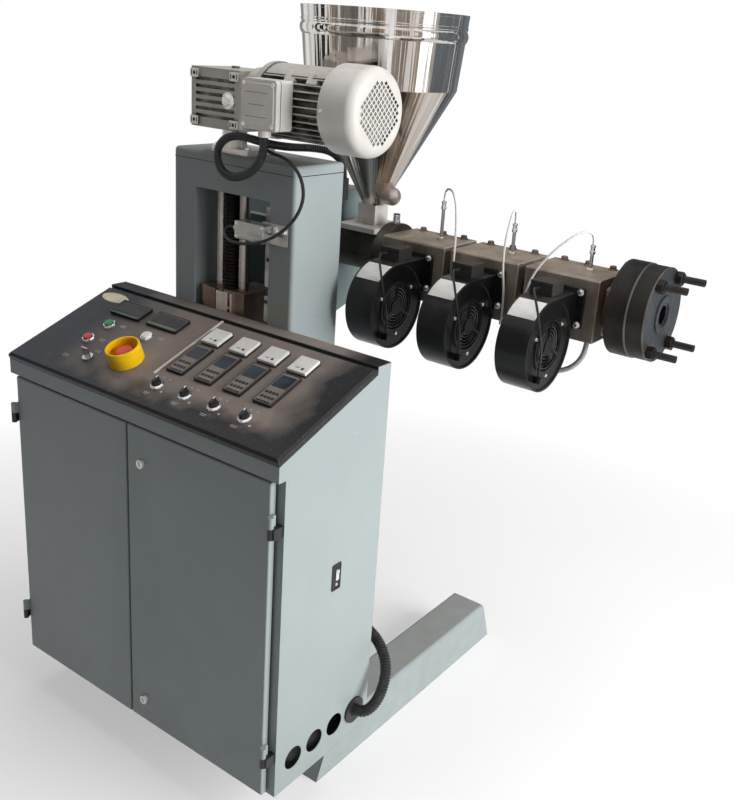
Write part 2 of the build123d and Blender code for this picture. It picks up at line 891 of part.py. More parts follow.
# Screw drive behind the column: gear case and motor
with BuildPart() as gearbox:
    with BuildSketch(Plane.XY.offset(gearbox_bottom)):
        with Locations(((gearbox_left + gearbox_right) / 2, barrel_y)):
            RectangleRounded(gearbox_length, gearbox_width, gearbox_edge)
    extrude(amount=gearbox_height)
    fillet(gearbox.faces().sort_by(Axis.Z)[-1].edges(), gearbox_edge / 2)
save(gearbox, "screw_gearbox")

with BuildPart() as drive_motor:
    with BuildSketch(Plane.YZ.offset(gearbox_left)):
        with Locations((barrel_y, barrel_z)):
            Circle(drive_motor_core)
            with PolarLocations((drive_motor_core + drive_motor_radius - fin_root) / 2, drive_motor_fin_count):
                Rectangle(drive_motor_radius - drive_motor_core + fin_root, drive_motor_fin)
    extrude(amount=-(drive_motor_length - drive_cowl))
    with BuildSketch(Plane.YZ.offset(gearbox_left - drive_motor_length + drive_cowl)):
        with Locations((barrel_y, barrel_z)):
            Circle(drive_motor_radius + drive_cowl_step)
    extrude(amount=-drive_cowl)
    fillet(drive_motor.faces().sort_by(Axis.X)[0].edges(), drive_cowl_edge)
save(drive_motor, "main_motor")

# Feed section, barrel and flanges
feed_flange_left = block_first - feed_flange
with BuildPart() as feed:
    with BuildSketch(Plane.YZ.offset(gearbox_right)):
        with Locations((barrel_y, barrel_z)):
            Circle(feed_radius)
    extrude(amount=feed_flange_left - gearbox_right)
    with BuildSketch(Plane.YZ.offset(feed_flange_left)):
        with Locations((barrel_y, barrel_z)):
            Circle(feed_flange_radius)
    extrude(amount=feed_flange)
    with BuildSketch(Plane.XY.offset(barrel_z)):
        with Locations((hopper_x, barrel_y)):
            Rectangle(gate_size[1], gate_size[1] - 2 * saddle_inset)
    extrude(amount=gate_bottom - barrel_z)
    with BuildSketch(Plane.XY.offset(barrel_z + feed_flange_radius - nipple_sunk)):
        with Locations((feed_flange_left + feed_flange / 2, barrel_y)):
            Circle(nipple_radius)
    extrude(amount=nipple_height)
save(feed, "feed_section")

flange_left = die_face - die_flange - barrel_flange
with BuildPart() as barrel:
    with BuildSketch(Plane.YZ.offset(block_first)):
        with Locations((barrel_y, barrel_z)):
            Circle(barrel_radius)
    extrude(amount=flange_left - block_first)
    with BuildSketch(Plane.YZ.offset(flange_left)):
        with Locations((barrel_y, barrel_z)):
            Circle(barrel_flange_radius)
    extrude(amount=barrel_flange)
save(barrel, "barrel")

with BuildPart() as die:
    with BuildSketch(Plane.YZ.offset(die_face - die_flange)):
        with Locations((barrel_y, barrel_z)):
            Circle(die_flange_radius)
            Circle(barrel_bore_radius, mode=Mode.SUBTRACT)
            with GridLocations(*stud_spacing, 2, 2):
                Circle(stud_radius + run_gap, mode=Mode.SUBTRACT)
    extrude(amount=die_flange)
save(die, "die_flange")

with BuildPart() as studs:
    with BuildSketch(Plane.YZ.offset(die_face - die_flange)):
        with Locations((barrel_y, barrel_z)):
            with GridLocations(*stud_spacing, 2, 2):
                Circle(stud_radius)
    extrude(amount=die_flange + stud_reach)
    with BuildSketch(Plane.YZ.offset(die_face)):
        with Locations((barrel_y, barrel_z)):
            with GridLocations(*stud_spacing, 2, 2):
                RegularPolygon(nut_across / 2, 6, major_radius=False)
    extrude(amount=stud_nut)
save(studs, "die_studs")

# Heater blocks and their blowers
block_middles = [block_first + n * block_pitch + block_length / 2 for n in range(block_count)]
for number, middle in enumerate(block_middles, start=1):
    with BuildPart() as block:
        with BuildSketch(Plane.YZ.offset(middle - block_length / 2)):
            with Locations((barrel_y, block_bottom + block_height / 2)):
                Rectangle(block_depth, block_height)
            with Locations((barrel_y, barrel_z)):
                Circle(barrel_radius + run_gap, mode=Mode.SUBTRACT)
        extrude(amount=block_length)
        chamfer(block.edges().filter_by(Axis.X).group_by(Axis.Z)[-1], block_edge)
        if number in conduit_gland_places:
            with BuildSketch(Plane.XY.offset(block_bottom)):
                with Locations((conduit_gland_places[number], barrel_y - conduit_gland_front)):
                    Circle(conduit_gland_radius)
            extrude(amount=-conduit_gland)
    save(block, f"heater_block_{number}")

outlet_top = blower_z + blower_radius
outlet_middle = outlet_top - outlet_height / 2
for number, middle in enumerate([m + blower_shift for m in block_middles], start=1):
    right_face = middle + blower_thickness / 2
    with BuildPart() as blower:
        with BuildSketch(Plane.YZ.offset(middle - blower_thickness / 2)):
            with Locations((blower_y, blower_z)):
                Circle(blower_radius)
            with Locations((blower_y, outlet_top)):
                Rectangle(block_front - outlet_flange - blower_y, outlet_height, align=(Align.MIN, Align.MAX))
        extrude(amount=blower_thickness)
        with BuildSketch(Plane.XZ.offset(-block_front)):
            with Locations((middle, outlet_middle)):
                RectangleRounded(outlet_flange_width, outlet_flange_height, outlet_flange_corner)
        extrude(amount=outlet_flange)
        with BuildSketch(Plane.XY.offset(outlet_top)):
            with Locations((middle - blower_box_side, blower_y + blower_box[1] / 2 + blower_box_back)):
                Rectangle(blower_box[0], blower_box[1])
        extrude(amount=blower_box[2])
        with BuildSketch(Plane.XY.offset(outlet_top + blower_box[2] - blower_box_lid)):
            with Locations((middle - blower_box_side, blower_y + blower_box[1] / 2 + blower_box_back)):
                Rectangle(blower_box[0], blower_box[1])
                Rectangle(
                    blower_box[0] - 2 * blower_box_seam,
                    blower_box[1] - 2 * blower_box_seam,
                    mode=Mode.SUBTRACT,
                )
        extrude(amount=-blower_box_seam, mode=Mode.SUBTRACT)
        with BuildSketch(Plane.YZ.offset(right_face)):
            with Locations((blower_y, blower_z)):
                Circle(blower_radius - blower_rim)
                Circle(blower_eye + blower_eye_collar, mode=Mode.SUBTRACT)
        extrude(amount=-blower_recess, mode=Mode.SUBTRACT)
        with BuildSketch(Plane.YZ.offset(right_face)):
            with Locations((blower_y, blower_z)):
                Circle(blower_eye)
                Circle(blower_hub, mode=Mode.SUBTRACT)
        extrude(amount=-blower_eye_depth, mode=Mode.SUBTRACT)
        with BuildSketch(Plane.YZ.offset(right_face - guard_wire)):
            with Locations((blower_y, blower_z)):
                for ring in guard_rings:
                    Circle(ring + guard_wire / 2)
                    Circle(ring - guard_wire / 2, mode=Mode.SUBTRACT)
                with PolarLocations((blower_eye + blower_hub) / 2, guard_spoke_count, start_angle=90):
                    Rectangle(blower_eye - blower_hub + 2 * guard_wire, guard_spoke)
        extrude(amount=guard_wire)
        with BuildSketch(Plane.YZ.offset(right_face - blower_recess)):
            with Locations((blower_y - wire_lug_front, blower_z - blower_radius + wire_lug_rise)):
                Rectangle(wire_lug[1], wire_lug[2])
        extrude(amount=blower_recess + wire_lug[0])
    save(blower, f"blower_{number}")

# Hopper: tapered cylinder with a bead, cone, square neck with a slide gate
hopper_plane = Plane((hopper_x, barrel_y, 0), x_dir=(1, 0, 0), z_dir=(0, -1, 0))
hopper_axis = Axis((hopper_x, barrel_y, 0), (0, 0, 1))
with BuildPart() as hopper_cylinder:
    with BuildSketch(hopper_plane):
        Polygon(
            (hopper_shoulder_radius, hopper_shoulder),
            (hopper_top_radius, hopper_top),
            (hopper_top_radius - hopper_wall, hopper_top),
            (hopper_shoulder_radius - hopper_wall, hopper_shoulder),
            align=None,
        )
    revolve(axis=hopper_axis)
    bead_share = (hopper_bead_height - hopper_shoulder) / (hopper_top - hopper_shoulder)
    bead_at = hopper_shoulder_radius + bead_share * (hopper_top_radius - hopper_shoulder_radius)
    with BuildSketch(hopper_plane):
        with Locations((bead_at - hopper_wall / 2, hopper_bead_height)):
            Circle(hopper_bead_radius)
    revolve(axis=hopper_axis)
save(hopper_cylinder, "hopper_cylinder")

cone_end = neck_width / 2
with BuildPart() as hopper_cone:
    with BuildSketch(hopper_plane):
        Polygon(
            (hopper_shoulder_radius, hopper_shoulder),
            (hopper_shoulder_radius - hopper_wall, hopper_shoulder),
            (cone_end - hopper_wall, hopper_cone_bottom),
            (cone_end, hopper_cone_bottom),
            align=None,
        )
    revolve(axis=hopper_axis)
    with BuildPart(mode=Mode.PRIVATE) as spout:
        with BuildSketch(Plane.YZ.offset(hopper_x)):
            with Locations((barrel_y, hopper_cone_bottom + spout_above_neck)):
                Circle(spout_radius)
        extrude(amount=spout_end)
        fillet(spout.faces().sort_by(Axis.X)[-1].edges(), spout_edge)
        with BuildSketch(hopper_plane):
            Polygon(
                (0, hopper_shoulder),
                (hopper_shoulder_radius - hopper_wall, hopper_shoulder),
                (cone_end - hopper_wall, hopper_cone_bottom),
                (0, hopper_cone_bottom),
                align=None,
            )
        revolve(axis=hopper_axis, mode=Mode.SUBTRACT)
    add(spout.part)
save(hopper_cone, "hopper_cone")

with BuildPart() as neck:
    with BuildSketch(Plane.XY.offset(gate_bottom)):
        with Locations((hopper_x, barrel_y)):
            Rectangle(gate_size[0], gate_size[1])
            Rectangle(neck_width - 2 * neck_wall, neck_width - 2 * neck_wall, mode=Mode.SUBTRACT)
    extrude(amount=gate_size[2])
    with BuildSketch(Plane.XY.offset(gate_top)):
        with Locations((hopper_x, barrel_y)):
            Rectangle(neck_width, neck_width)
            Rectangle(neck_width - 2 * neck_wall, neck_width - 2 * neck_wall, mode=Mode.SUBTRACT)
    extrude(amount=hopper_cone_bottom - gate_top)
save(neck, "hopper_neck")

# Thermocouple probes on the blocks, with a lug for each lead's lower end
lug_y = block_front - lead_lug_stand
with BuildPart() as probes:
    block_top = block_bottom + block_height
    for middle, height in zip(block_middles, probe_heights):
        with BuildSketch(Plane.XY.offset(block_top)):
            with Locations((middle + probe_shift, barrel_y)):
                Circle(probe_radius)
        extrude(amount=height - block_top)
    for x, z in lead_lug_places:
        with BuildSketch(Plane.XY.offset(z)):
            with Locations((x, lug_y)):
                Circle(lead_lug_radius)
                Rectangle(lead_lug_radius, block_front - lug_y, align=(Align.CENTER, Align.MIN))
        extrude(amount=lead_lug_height)
save(probes, "thermocouples")

# Cords
lead_routes = (
    (
        (287, 318, 1238), (287, 318, 1257), (302, 307, 1271), (328, 288, 1268), (350, 268, 1247),
        (366, 250, 1214), (375, 238, 1176), (379, 232, 1138), (380, 230, 1098), (380, 230, 1060),
    ),
    (
        (477, 318, 1218), (477, 318, 1237), (480, 305, 1250), (486, 284, 1246), (491, 262, 1215),
        (496, 244, 1176), (503, 234, 1136), (511, 231, 1098), (515, 230, 1062), (515, 230, 1030),
    ),
    (
        (667, 318, 1204), (667, 318, 1223), (658, 305, 1234), (642, 284, 1227), (620, 264, 1204),
        (597, 248, 1174), (578, 238, 1140), (567, 232, 1104), (562, 230, 1068), (562, 230, 1034),
    ),
)
cord("thermocouple_leads", lead_routes, lead_diameter)

wire_routes = []
for middle in [m + blower_shift for m in block_middles]:
    lug_x = middle + blower_thickness / 2 + wire_lug[0] / 2
    lug_front = blower_y - wire_lug_front
    wire_routes.append(
        [
            (middle - 8, blower_y + blower_box_back, 1132), (middle - 8, blower_y - 1, 1132),
            (middle - 2, blower_y - 24, 1138), (middle + 16, blower_y - 52, 1132),
            (middle + 36, blower_y - 69, 1104), (middle + 47, blower_y - 70, 1062),
            (middle + 48, blower_y - 58, 1026), (lug_x, lug_front, 996),
            (lug_x, lug_front, blower_z - blower_radius + wire_lug_rise + wire_lug[2] / 2),
        ]
    )
cord("blower_wires", wire_routes, wire_diameter)

conduit_route = (
    (690, 300, 1003), (690, 300, 980), (682, 291, 952), (660, 283, 931), (628, 279, 921),
    (595, 279, 922), (563, 282, 929), (537, 289, 948), (515, 300, 975), (515, 300, 1003),
)
cord("heater_conduit", [conduit_route], conduit_diameter)
hose_start = box_bottom - hose_gland
sleeve_y = column_depth / 2 + sleeve_stand
hose_route = (
    (box_middle, hose_gland_y, hose_start), (box_middle, hose_gland_y, 1358), (128, -139, 1324),
    (92, -136, 1301), (48, -132, 1291), (12, -127, 1303), (-6, -121, 1333), (6, -116, 1362),
    (36, -110, 1375), (60, -94, 1371), (70, -62, 1362), (72, -22, 1354), (80, 20, 1349),
    (104, 60, 1349), (130, 94, 1343), (148, sleeve_y, 1316), (148, sleeve_y, 1286),
)
cord("motor_hose", [hose_route], hose_diameter)

cable_start = box_bottom - cable_gland
cable_gland_x = box_middle - cable_gland_side
cable_end = switch_right - switch_size[0] - switch_gland
switch_y = switch_back - switch_size[1] / 2
cable_route = (
    (cable_gland_x, cable_gland_y, cable_start), (cable_gland_x, cable_gland_y, 1372),
    (134, -121, 1358), (152, -120, 1352), (176, -121, 1350), (205, -122, 1340), (228, -119, 1316),
    (234, -115, 1280), (222, -114, 1245), (196, -115, 1212), (160, -119, 1184), (120, -123, 1165),
    (80, -124, 1157), (46, -122, 1155), (20, -115, 1160), (6, -105, 1170), (8, switch_y, switch_height),
    (cable_end, switch_y, switch_height),
)
cord("limit_cable", [cable_route], cable_diameter)

side_hose_x = column_width / 2 + hose_gland
side_hose_route = (
    (cabinet_right - hose_into_cabinet, last_hole, cable_hole_height), (472, last_hole, cable_hole_height),
    (492, -112, 202), (496, -88, 238), (484, -64, 277), (452, -48, 308), (410, -40, 324),
    (365, -38, 331), (315, -37, 333), (265, -38, 331), (225, -38, 328), (side_hose_x, -38, 328),
)
cord("side_hose", [side_hose_route], side_hose_diameter)

# Glands on the posts for the two hoses, and a grommet in the last cable hole
with BuildPart() as hose_glands:
    with BuildSketch(Plane.YZ.offset(column_width / 2)):
        with Locations((side_hose_route[-1][1], side_hose_route[-1][2])):
            Circle(side_hose_diameter / 2 + hose_gland_wall)
    extrude(amount=hose_gland)
    with BuildSketch(Plane.XY.offset(hose_route[-1][2] - sleeve_length)):
        with Locations((hose_route[-1][0], sleeve_y)):
            Circle(hose_gland_radius)
            Rectangle(hose_gland_radius, sleeve_stand, align=(Align.CENTER, Align.MAX))
    extrude(amount=sleeve_length)
    with BuildSketch(Plane.YZ.offset(cabinet_right)):
        with Locations((last_hole, cable_hole_height)):
            Circle(cable_hole_radius + grommet_lip)
            Circle(side_hose_diameter / 2 + run_gap, mode=Mode.SUBTRACT)
    extrude(amount=grommet_lip)
save(hose_glands, "hose_glands")
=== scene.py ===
# %% [markdown]
# # A plastic extruder on its lift column
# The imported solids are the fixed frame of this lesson. They already have the right shapes and places, so most
# of the work here is finish, cords and the small fittings that are too fine for the solids.
# Every place is in the solids' own frame. The camera's place, the cords and the fittings are written in
# millimetres, as on a drawing. Floor, lights, cards and finishes are in metres, which is Blender's own unit.

# %% Load the frame
import json
import math

import bmesh
import bpy
from mathutils import Matrix, Vector


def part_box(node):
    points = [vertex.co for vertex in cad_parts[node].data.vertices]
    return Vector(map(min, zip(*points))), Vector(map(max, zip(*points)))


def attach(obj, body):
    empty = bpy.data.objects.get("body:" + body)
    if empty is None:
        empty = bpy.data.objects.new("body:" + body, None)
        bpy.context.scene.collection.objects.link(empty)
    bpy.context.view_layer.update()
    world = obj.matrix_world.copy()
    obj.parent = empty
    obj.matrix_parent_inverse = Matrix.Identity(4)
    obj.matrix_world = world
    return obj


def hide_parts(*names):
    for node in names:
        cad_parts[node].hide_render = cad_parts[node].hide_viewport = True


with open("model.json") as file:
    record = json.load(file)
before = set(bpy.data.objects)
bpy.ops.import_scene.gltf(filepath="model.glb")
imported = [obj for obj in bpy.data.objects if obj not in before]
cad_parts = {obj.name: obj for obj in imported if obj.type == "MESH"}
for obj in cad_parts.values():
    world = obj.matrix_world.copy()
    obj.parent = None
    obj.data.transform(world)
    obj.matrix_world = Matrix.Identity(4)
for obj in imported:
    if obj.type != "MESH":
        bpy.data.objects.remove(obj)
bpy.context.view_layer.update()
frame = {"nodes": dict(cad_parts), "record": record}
solids = frame["nodes"]
mm = 0.001
print(len(solids), "solids loaded")

# %% [markdown]
# ## Camera
# The photograph was taken from the right and a little above, with the camera tilted by four degrees.
# A look-at constraint can't give that tilt, so the camera's three axes are worked out from the angles. Its
# place and lens were fitted to the cabinet's edges, which are straight and long.

# %% Camera
azimuth, fall, tilt = (math.radians(angle) for angle in (34.47, 18.78, 4.30))
forward = Vector(
    (-math.sin(azimuth) * math.cos(fall), math.cos(azimuth) * math.cos(fall), -math.sin(fall))
)
level_right = forward.cross(Vector((0, 0, 1))).normalized()
level_up = level_right.cross(forward)
camera_right = level_right * math.cos(tilt) + level_up * math.sin(tilt)
camera_up = level_up * math.cos(tilt) - level_right * math.sin(tilt)

camera = bpy.data.objects.new("camera", bpy.data.cameras.new("camera"))
bpy.context.scene.collection.objects.link(camera)
camera.matrix_world = Matrix((camera_right, camera_up, -forward)).transposed().to_4x4()
camera.location = Vector((1482.1, -1570.0, 1599.6)) * mm
camera.data.lens = 43.5
camera.data.shift_x = -0.0365
camera.data.shift_y = -0.0487
bpy.context.scene.camera = camera
bpy.context.scene.view_settings.view_transform = "Standard"
print("camera looks along", [round(x, 3) for x in forward])

# %% [markdown]
# ## Shader maths
# A finish is a formula: so much dust here, a little less gloss there. Joining nodes by hand hides the
# formula, so one small class stands for a socket and lets the formula be written as plain Python.

# %% Wires and trees
class Wire:
    """An output socket. Sums, differences and products of wires add Math nodes."""

    def __init__(self, tree, socket):
        self.tree = tree
        self.socket = socket

    def maths(self, operation, *values):
        return self.tree.node("ShaderNodeMath", {"operation": operation}, dict(enumerate(values)))

    def __add__(self, other):
        return self.maths("ADD", self, other)

    def __sub__(self, other):
        return self.maths("SUBTRACT", self, other)

    def __rsub__(self, other):
        return self.maths("SUBTRACT", other, self)

    def __mul__(self, other):
        return self.maths("MULTIPLY", self, other)

    __radd__ = __add__
    __rmul__ = __mul__

    def sine(self):
        return self.maths("SINE", self)

    def larger(self, other):
        return self.maths("MAXIMUM", self, other)


def colour(code):
    """Linear red, green and blue of a screen colour such as '8a9894'."""
    shades = [int(code[n : n + 2], 16) / 255 for n in (0, 2, 4)]
    return [s / 12.92 if s <= 0.04045 else ((s + 0.055) / 1.055) ** 2.4 for s in shades]


class Tree:
    """A shader tree. Its one method adds a node by type, settings and sockets."""

    def __init__(self, tree):
        self.tree = tree

    def feed(self, socket, value):
        if isinstance(value, Wire):
            self.tree.links.new(value.socket, socket)
        elif isinstance(value, str):
            socket.default_value = (*colour(value), 1.0)
        else:
            socket.default_value = value

    def node(self, kind, settings=None, sockets=None, output=0):
        made = self.tree.nodes.new(kind)
        for name, value in (settings or {}).items():
            setattr(made, name, value)
        for name, value in (sockets or {}).items():
            self.feed(made.inputs[name], value)
        return Wire(self, made.outputs[output])


class Finish(Tree):
    """A material round one Principled shader, with the patterns that paint and metal need."""

    def __init__(self, name, constants):
        self.material = bpy.data.materials.new(name)
        self.material.use_nodes = True
        super().__init__(self.material.node_tree)
        self.shader = self.tree.nodes["Principled BSDF"]
        self.spot = self.node("ShaderNodeTexCoord", output="Object")
        self.shade(constants)

    def shade(self, sockets):
        for name, value in sockets.items():
            self.feed(self.shader.inputs[name], value)
        return self.material

    def noise(self, scale, detail=3.0, stretch=(1, 1, 1)):
        spot = self.node("ShaderNodeMapping", {}, {"Vector": self.spot, "Scale": stretch})
        return self.node("ShaderNodeTexNoise", {}, {"Vector": spot, "Scale": scale, "Detail": detail})

    def span(self, value, low, high, least=0.0, most=1.0):
        sockets = {"Value": value, "From Min": low, "From Max": high, "To Min": least, "To Max": most}
        return self.node("ShaderNodeMapRange", {}, sockets)

    def mix(self, share, first, second):
        return self.node("ShaderNodeMix", {"data_type": "RGBA"}, {0: share, 6: first, 7: second}, output=2)

    def along(self, axis):
        return self.node("ShaderNodeSeparateXYZ", {}, {0: self.spot}, output=axis)

    def facing(self, axis):
        """1 where the surface looks along that axis, 0 where it is square to it."""
        normal = self.node("ShaderNodeNewGeometry", output="Normal")
        return self.node("ShaderNodeSeparateXYZ", {}, {0: normal}, output=axis)

    def occlusion_shade(self, reach):
        """1 deep in grooves and corners, 0 on open ground: an occlusion mask that paints shade into colour."""
        settings = {"samples": 6, "only_local": True}
        opened = self.node("ShaderNodeAmbientOcclusion", settings, {"Distance": reach}, output="AO")
        return self.span(opened, 0.9, 0.45)

    def rounded(self, radius):
        return self.node("ShaderNodeBevel", {"samples": 4}, {"Radius": radius})

    def edges(self, radius):
        """1 along sharp edges and 0 on flat ground."""
        flat = self.node("ShaderNodeNewGeometry", output="Normal")
        agree = self.node(
            "ShaderNodeVectorMath",
            {"operation": "DOT_PRODUCT"},
            {0: self.rounded(radius), 1: flat},
            output="Value",
        )
        return self.span(agree, 0.98, 0.78)

    def relief(self, height, depth, radius=0.0015):
        """A bumpy surface whose sharp edges are softened to that radius."""
        sockets = {"Height": height, "Distance": depth, "Normal": self.rounded(radius)}
        self.shade({"Normal": self.node("ShaderNodeBump", {}, sockets)})


print("shader classes ready")

# %% [markdown]
# ## Floor and light
# The light in the photograph comes from the right, so side walls are pale and fronts are dark. One large
# soft box stands there, a second hangs above, a weak third lifts the fronts a little, and the world adds an
# even light. To the camera and in mirrors the world is plain white. The floor thins out with distance and
# meets that white without a horizon. The boxes are kept out of mirrors, because their glare would wipe out
# the shape of polished metal.

# %% Floor and soft boxes
world = bpy.data.worlds.new("studio")
bpy.context.scene.world = world
world.use_nodes = True
sky = Tree(world.node_tree)
seen = sky.node("ShaderNodeLightPath", output="Is Camera Ray")
mirrored = sky.node("ShaderNodeLightPath", output="Is Glossy Ray")
through = sky.node("ShaderNodeLightPath", output="Is Transmission Ray")
backdrop = world.node_tree.nodes["Background"]
backdrop.inputs["Color"].default_value = (1, 1, 1, 1)
even_light, seen_extra, mirror_extra = 0.18, 0.82, 0.74
strength = seen * seen_extra + (mirrored + through) * mirror_extra + even_light
sky.feed(backdrop.inputs["Strength"], strength)

floor_reach = 9.0
floor_corners = [(floor_reach * x, floor_reach * y, 0) for x, y in ((-1, -1), (1, -1), (1, 1), (-1, 1))]
floor_mesh = bpy.data.meshes.new("floor")
floor_mesh.from_pydata(floor_corners, [], [(0, 1, 2, 3)])
floor = bpy.data.objects.new("floor", floor_mesh)
bpy.context.scene.collection.objects.link(floor)
concrete = Finish("pale_floor", {"Roughness": 0.85, "Specular IOR Level": 0.1})
x, y = concrete.along("X") - 0.1, concrete.along("Y")
floor_mesh.materials.append(concrete.shade({
    "Base Color": concrete.mix(concrete.noise(2.0), "ececeb", "f4f4f3"),
    "Alpha": concrete.span(x * x + y * y, 0.3, 4.0, 0.6, 0.0),
}))


def soft_box(name, place, target, size, power):
    lamp = bpy.data.lights.new(name, "AREA")
    lamp.shape = "RECTANGLE"
    lamp.size, lamp.size_y = size
    lamp.energy = power
    box = bpy.data.objects.new(name, lamp)
    bpy.context.scene.collection.objects.link(box)
    box.location = place
    box.rotation_euler = (Vector(target) - Vector(place)).to_track_quat("-Z", "Y").to_euler()
    box.visible_glossy = False


soft_box("key_light", (3.3, 0.45, 1.5), (0.2, 0.1, 0.9), (2.2, 2.6), 185)
soft_box("fill_light", (-1.6, -3.2, 2.4), (0.0, -0.3, 0.9), (2.4, 2.0), 4)
soft_box("top_light", (0.1, 0.3, 3.7), (0.1, 0.1, 1.0), (2.6, 2.2), 40)
print("floor and three soft boxes")

# %% [markdown]
# Polished sheet has no look of its own: it shows what stands round it. Its finish has painted reflections,
# stripes fixed to the sheet, and cards add reflections that move with the view. A broken ring of upright cards
# in brown, tan and grey, seen only in reflections, adds to the hopper's dark and bright stripes. Each card is
# an arc round the hopper's axis, between two compass angles. One of them glows, as a bright opening on the
# right would, and puts a highlight on whatever shines and faces it.

# %% Cards for the reflections
hopper_x, hopper_y = 84, 318
ring_radius, ring_foot, ring_head = 2.7, 0.02, 3.2
card_faces = 8


def card(name, start, end, tone, shade, glow=1.0):
    turns = [math.radians(start + (end - start) * n / card_faces) for n in range(card_faces + 1)]
    foot = [
        (hopper_x * mm + ring_radius * math.cos(t), hopper_y * mm + ring_radius * math.sin(t), ring_foot)
        for t in turns
    ]
    head = [(x, y, ring_head) for x, y, _ in foot]
    row = len(foot)
    sheet = bpy.data.meshes.new(name)
    sheet.from_pydata(foot + head, [], [(n, n + 1, n + 1 + row, n + row) for n in range(card_faces)])
    paper = Finish(name, {"Emission Strength": glow, "Specular IOR Level": 0.0, "Base Color": "000000"})
    cloud = paper.span(paper.noise(4, 4, (1, 1, 0.15)), 0.35, 0.65)
    sheet.materials.append(paper.shade({"Emission Color": paper.mix(cloud, tone, shade)}))
    upright = bpy.data.objects.new(name, sheet)
    bpy.context.scene.collection.objects.link(upright)
    upright.visible_camera = False
    upright.visible_diffuse = False
    upright.visible_shadow = False


card("card_l", -236, -194, "8f8d8a", "a5a3a0")
card("card_a", -162, -151, "2a2320", "4a3f38")
card("card_b", -146, -137, "352b26", "1f1a18")
card("card_c", -131, -116, "7d736a", "968b81")
card("card_d", -114, -92, "8d8a86", "767370")
card("card_e", -82, -76, "4d423a", "6b5d52")
card("card_f", -68, -57, "a39282", "867566")
card("card_g", -38, -24, "a3988d", "857a70")
card("card_h", -13, -7, "b5a899", "9a8c7d")
card("opening", -4, 11, "ffffff", "f1f4f6", 2.4)
card("card_i", 14, 26, "a8a6a3", "c4c2bf")
card("card_j", 26, 62, "7d838a", "656c73")
card("card_k", 66, 118, "646b72", "80868c")
print("thirteen cards")

# %% [markdown]
# ## Cords
# A hose or wire is one smooth line of fixed length. Its route repeats the control points of the solid,
# and a NURBS spline of order 3 runs between them without kinks. The tube itself is a mesh swept along that
# spline, because ribs and braid need rings of points that a curve's round bevel doesn't have.

# %% Smooth lines and swept tubes
def smooth_line(route):
    """Points, in metres, along the NURBS spline of a route in millimetres."""
    curve = bpy.data.curves.new("route", "CURVE")
    curve.dimensions = "3D"
    curve.resolution_u = 24
    spline = curve.splines.new("NURBS")
    spline.points.add(len(route) - 1)
    for point, place in zip(spline.points, route):
        point.co = (*(Vector(place) * mm), 1)
    spline.order_u = 3
    spline.use_endpoint_u = True
    holder = bpy.data.objects.new("route", curve)
    bpy.context.scene.collection.objects.link(holder)
    mesh = bpy.data.meshes.new_from_object(holder)
    points = [vertex.co.copy() for vertex in mesh.vertices]
    bpy.data.objects.remove(holder)
    bpy.data.curves.remove(curve)
    bpy.data.meshes.remove(mesh)
    return points


def walk(points, step):
    """Places at even steps along a line, each with its distance from the start."""
    gone = [0.0]
    for a, b in zip(points, points[1:]):
        gone.append(gone[-1] + (b - a).length)
    count = max(2, round(gone[-1] / step))
    places, k = [], 0
    for n in range(count + 1):
        distance = gone[-1] * n / count
        while k < len(points) - 2 and gone[k + 1] < distance:
            k += 1
        share = (distance - gone[k]) / (gone[k + 1] - gone[k])
        places.append((points[k].lerp(points[k + 1], min(1.0, max(0.0, share))), distance))
    return places


def swept_tube(name, points, step, radius_at, sides):
    """A tube along points; radius_at gives its radius, in metres, at a distance along it."""
    mesh = bmesh.new()
    wrap = mesh.loops.layers.uv.new("wrap")
    places = walk(points, step)
    side = (places[1][0] - places[0][0]).orthogonal().normalized()
    rings = []
    for n, (place, distance) in enumerate(places):
        ahead = (places[min(n + 1, len(places) - 1)][0] - places[max(n - 1, 0)][0]).normalized()
        side = (side - ahead * side.dot(ahead)).normalized()
        across = ahead.cross(side)
        radius = radius_at(distance)
        ring = []
        for k in range(sides):
            turn = 2 * math.pi * k / sides
            ring.append(mesh.verts.new(place + (side * math.cos(turn) + across * math.sin(turn)) * radius))
        rings.append((ring, distance))
    for (low, start), (high, end) in zip(rings, rings[1:]):
        for k in range(sides):
            after = (k + 1) % sides
            face = mesh.faces.new((low[k], low[after], high[after], high[k]))
            face.smooth = True
            corners = ((k, start), (k + 1, start), (k + 1, end), (k, end))
            for loop, (turn, distance) in zip(face.loops, corners):
                loop[wrap].uv = (turn / sides, distance)
    for ring in (rings[0][0][::-1], rings[-1][0]):
        mesh.faces.new(ring)
    tube = bpy.data.meshes.new(name)
    mesh.to_mesh(tube)
    mesh.free()
    made = bpy.data.objects.new(name, tube)
    bpy.context.scene.collection.objects.link(made)
    return made


def ribbed(diameter, pitch, depth):
    """The radius of a corrugated hose, rounded at the crest and narrow in the groove."""
    def radius_at(distance):
        wave = 0.5 + 0.5 * math.cos(2 * math.pi * distance / (pitch * mm))
        return (diameter / 2 - depth * (1 - wave**0.6)) * mm
    return radius_at


def plain(diameter):
    return lambda distance: diameter / 2 * mm


print("tube tools ready")

# %% [markdown]
# The machine has two corrugated hoses, one thin cable to the limit switch, three braided sensor leads,
# three blower wires and one conduit between two heaters. Each ends in a gland or a lug.

# %% Cord finishes
def rubber(name, tone, rough):
    f = Finish(name, {"Specular IOR Level": 0.45})
    dust = f.span(f.noise(60), 0.45, 0.75)
    f.shade({
        "Base Color": f.mix(dust * 0.35, tone, "4a4744"),
        "Roughness": rough + dust * 0.2,
    })
    f.relief(f.noise(1500), 0.0002, 0.0004)
    return f.material


